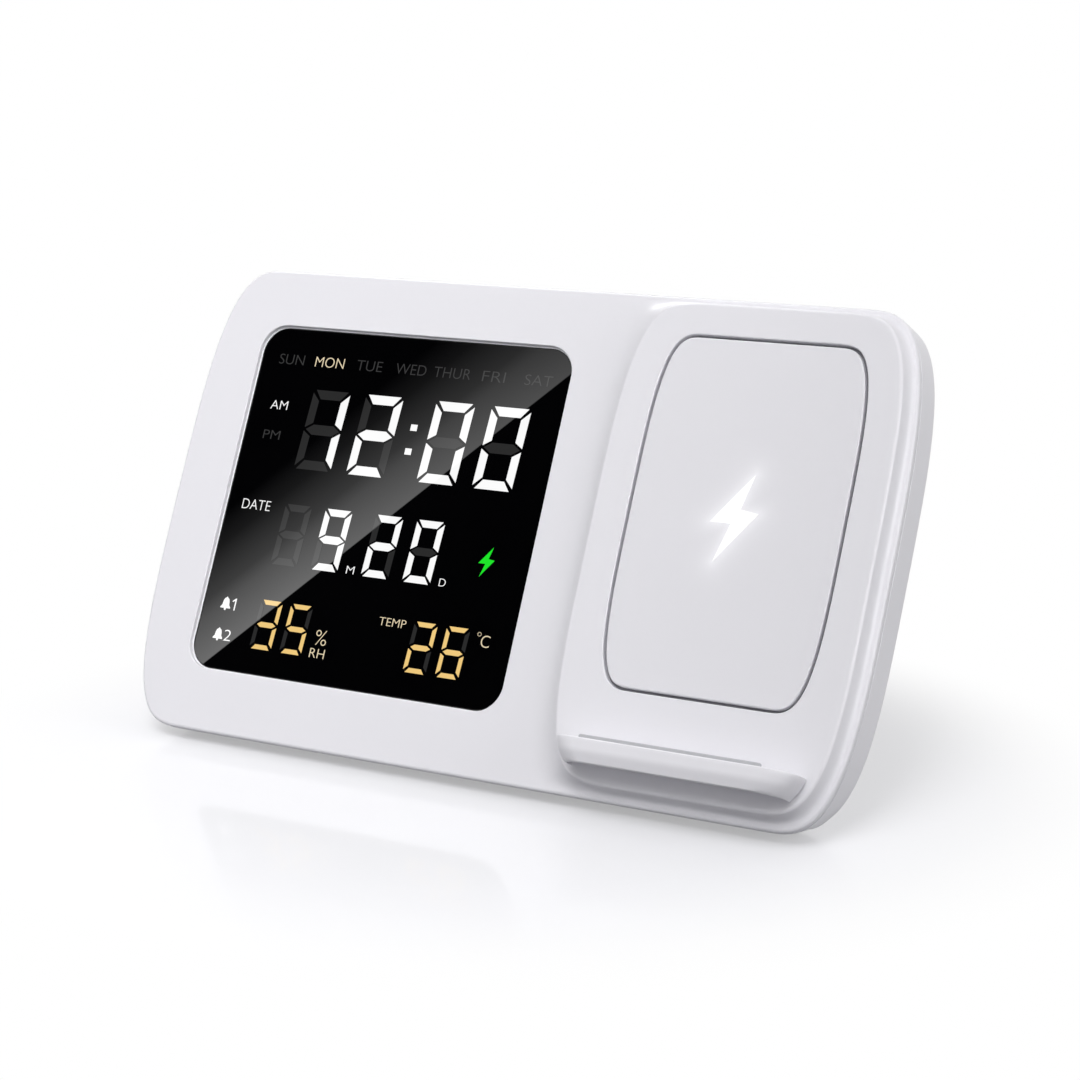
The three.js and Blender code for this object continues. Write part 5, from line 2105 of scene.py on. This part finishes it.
@dataclass(frozen=True)
class PaleFloor:
    """Matt pale board that keeps the clock's shadow and a faint reflection.

    The eye sees an even grey near the clock that fades to white around it.
    """

    bounce: str = "7E7E82"
    tone: str = "CBCBCF"
    lift: float = 0.41
    gloss: float = 0.12
    roughness: float = 0.07
    gloss_from: float = 0.045
    gloss_to: float = 0.12
    white_from: float = 0.075
    white_to: float = 0.125

    def material(self) -> bpy.types.Material:
        """Builds the material.

        Returns:
            The material.
        """
        made = new_material("pale_floor")
        white, seen = linear("FFFFFF"), seen_ray(made)
        tone = add_node(
            made, "Mix", {"data_type": "RGBA"},
            values={6: linear(self.bounce), 7: linear(self.tone)}, links={0: (seen, "Value")},
        )
        board = add_node(made, "BsdfDiffuse", links={"Color": (tone, 2)})
        lift = add_node(
            made, "Math", {"operation": "MULTIPLY"},
            values={1: self.lift}, links={0: (seen, "Value")},
        )
        glow = add_node(
            made, "Emission", values={"Color": white},
            links={"Strength": (lift, "Value")},
        )
        lit = add_node(
            made, "AddShader", links={0: (board, "BSDF"), 1: (glow, "Emission")},
        )
        gloss = add_node(
            made, "BsdfGlossy", values={"Color": white, "Roughness": self.roughness},
        )
        place = add_node(made, "TexCoord")
        reach = add_node(
            made, "VectorMath", {"operation": "LENGTH"}, links={0: (place, "Object")},
        )
        sheen = add_node(
            made, "MapRange", {"interpolation_type": "SMOOTHSTEP"},
            values={
                "From Min": self.gloss_from, "From Max": self.gloss_to,
                "To Min": self.gloss, "To Max": 0.0,
            },
            links={"Value": (reach, "Value")},
        )
        near = add_node(
            made, "MixShader",
            links={0: (sheen, "Result"), 1: (lit, "Shader"), 2: (gloss, "BSDF")},
        )
        away = add_node(
            made, "MapRange", {"interpolation_type": "SMOOTHSTEP"},
            values={"From Min": self.white_from, "From Max": self.white_to},
            links={"Value": (reach, "Value")},
        )
        fade = add_node(
            made, "Math", {"operation": "MULTIPLY"},
            links={0: (away, "Result"), 1: (seen, "Value")},
        )
        plain = add_node(made, "Emission", values={"Color": white, "Strength": 1.0})
        mix = add_node(
            made, "MixShader",
            links={0: (fade, "Value"), 1: (near, "Shader"), 2: (plain, "Emission")},
        )
        add_node(made, "OutputMaterial", links={"Surface": (mix, "Shader")})
        return made


@dataclass(frozen=True)
class WindowLight:
    """What the window mirrors: dark, with one bright edge that fades away from it.

    Its pattern is laid out in millimetres of the window's plane.
    """

    corner: Place = (37.63, 32.68, 0.0)
    along: Pair = (72.3, 69.8)
    start: float = -2.0
    end: float = 38.0
    fade_length: float = 75.0
    strong: float = 1.1
    weak: float = 0.5
    strength: float = 3.2

    # Grey levels along the ramp from start to end.
    STOPS = (
        (0.0, 0.0), (0.049, 0.0), (0.051, 1.0), (0.262, 0.56), (0.34, 0.3), (0.425, 0.2),
        (0.55, 0.06), (0.7, 0.0),
    )

    def material(self) -> bpy.types.Material:
        """Builds the material.

        Returns:
            The material.
        """
        made = new_material("window_card")
        place = add_node(made, "TexCoord")
        along = Vector(self.along).normalized()
        lie = add_node(
            made, "Mapping", {"vector_type": "TEXTURE"},
            values={"Location": self.corner, "Rotation": (0, 0, math.atan2(along.y, along.x))},
            links={"Vector": (place, "Object")},
        )
        parts = add_node(made, "SeparateXYZ", links={0: (lie, "Vector")})
        away = add_node(
            made, "MapRange", values={"From Min": self.start, "From Max": self.end},
            links={"Value": (parts, "Y")},
        )
        ramp = add_node(made, "ValToRGB", links={"Fac": (away, "Result")})
        elements = ramp.color_ramp.elements
        while len(elements) < len(self.STOPS):
            elements.new(0.5)
        for element, (at, grey) in zip(elements, self.STOPS, strict=True):
            element.position, element.color = at, (grey, grey, grey, 1)
        fade = add_node(
            made, "MapRange",
            values={
                "From Min": -self.fade_length, "From Max": 0.0,
                "To Min": self.strong, "To Max": self.weak,
            },
            links={"Value": (parts, "X")},
        )
        strength = add_node(
            made, "Math", {"operation": "MULTIPLY"},
            values={1: self.strength}, links={0: (fade, "Result")},
        )
        glow = add_node(
            made, "Emission",
            links={"Color": (ramp, "Color"), "Strength": (strength, "Value")},
        )
        add_node(made, "OutputMaterial", links={"Surface": (glow, "Emission")})
        return made


@dataclass
class Studio:
    """Pale floor, soft lamps and the camera at the photograph's place."""

    casing: CasingFrame
    display: Display
    eye: Place = (252.025, -424.0, 103.8)
    tilt: float = 12.16
    heading: float = 29.94
    lens: float = 84.84
    sensor: float = 36.0
    clip: Pair = (0.01, 50.0)
    ambient: float = 0.43
    key_spread: float = 80.0
    floor_half: float = 4.0
    card_half: float = 48.0
    card_spread: float = 2.2

    KEY = Lamp("key_lamp", (0.06, -0.42, 0.5), 0.35, 0.7, (-0.17, 0.0, 0.05))
    SIDE = Lamp("side_lamp", (1.25, -0.05, 0.35), 0.7, 4.6)
    # These two only show as highlights on the casing's edges.
    EDGES = (
        Lamp("top_edge_lamp", (-0.6, 0.27, 1.0), 0.4, 5.0),
        Lamp("right_edge_lamp", (1.0, -0.45, 0.45), 0.4, 2.5),
    )

    def camera(self) -> Vector:
        """Places the camera, and returns its place.

        Returns:
            The camera's place.
        """
        data = bpy.data.cameras.new("photograph")
        data.lens, data.sensor_width = self.lens, self.sensor
        data.clip_start, data.clip_end = self.clip
        eye = add_object("photograph", data)
        eye.location = self.casing.matrix.translation + Vector(self.eye) * MM
        eye.rotation_euler = (math.radians(90 - self.tilt), 0, math.radians(self.heading))
        bpy.context.scene.camera = eye
        return eye.location.copy()

    def world(self) -> None:
        """Lights the scene evenly, and shows white to the camera, to gloss and through glass."""
        world = bpy.data.worlds.new("studio")
        world.use_nodes = True
        world.node_tree.nodes.clear()
        seen = seen_ray(world)
        ambient, white = (
            add_node(
                world, "Background",
                values={"Color": linear("FFFFFF"), "Strength": strength},
            )
            for strength in (self.ambient, 1.0)
        )
        mix = add_node(
            world, "MixShader",
            links={0: (seen, "Value"), 1: (ambient, "Background"), 2: (white, "Background")},
        )
        add_node(world, "OutputWorld", links={"Surface": (mix, "Shader")})
        bpy.context.scene.world = world

    def window_card(self, eye: Vector) -> None:
        """Hangs the card that the window mirrors, which only glossy rays see.

        The window's plane is carried away from the mirrored camera, so the card's edge lies
        where the reflection in the window ends.

        Args:
            eye: The camera's place.
        """
        plane = self.display.place
        source = plane @ Matrix.Diagonal((1, 1, -1, 1)) @ plane.inverted() @ eye
        card = stage_sheet("window_card", self.card_half, WindowLight().material())
        card.matrix_world = (
            Matrix.Translation(source) @ Matrix.Scale(self.card_spread, 4)
            @ Matrix.Translation(-source) @ plane
        )
        card.visible_camera = card.visible_diffuse = False
        card.visible_shadow = card.visible_transmission = False

    def build(self) -> None:
        """Builds the studio."""
        bpy.context.scene.view_settings.view_transform = "Standard"
        eye = self.camera()
        self.world()
        stage_sheet("floor", self.floor_half, PaleFloor().material())
        key = self.KEY.build()
        key.visible_glossy = False
        key.data.spread = math.radians(self.key_spread)
        self.SIDE.build()
        for lamp in self.EDGES:
            lamp.build().visible_diffuse = False
        self.window_card(eye)
        log.info("studio: camera, floor and lamps")


def main() -> None:
    """Builds the clock and its studio."""
    logging.basicConfig(level=logging.INFO, format="%(name)s: %(message)s")
    casing = CasingFrame.from_cad()
    finishes = Finishes(casing)
    shells = Shells(casing, finishes)
    shells.build()
    display = Display(casing, finishes)
    display.build()
    Charger(casing, finishes).build()
    PhoneLedge(casing, finishes, shells.platform).build()
    Controls(casing, finishes).build()
    BatteryBay(casing, finishes).build()
    Kickstand(casing, finishes).build()
    dress_nodes(finishes)
    Studio(casing, display).build()


if __name__ == "__main__":
    main()
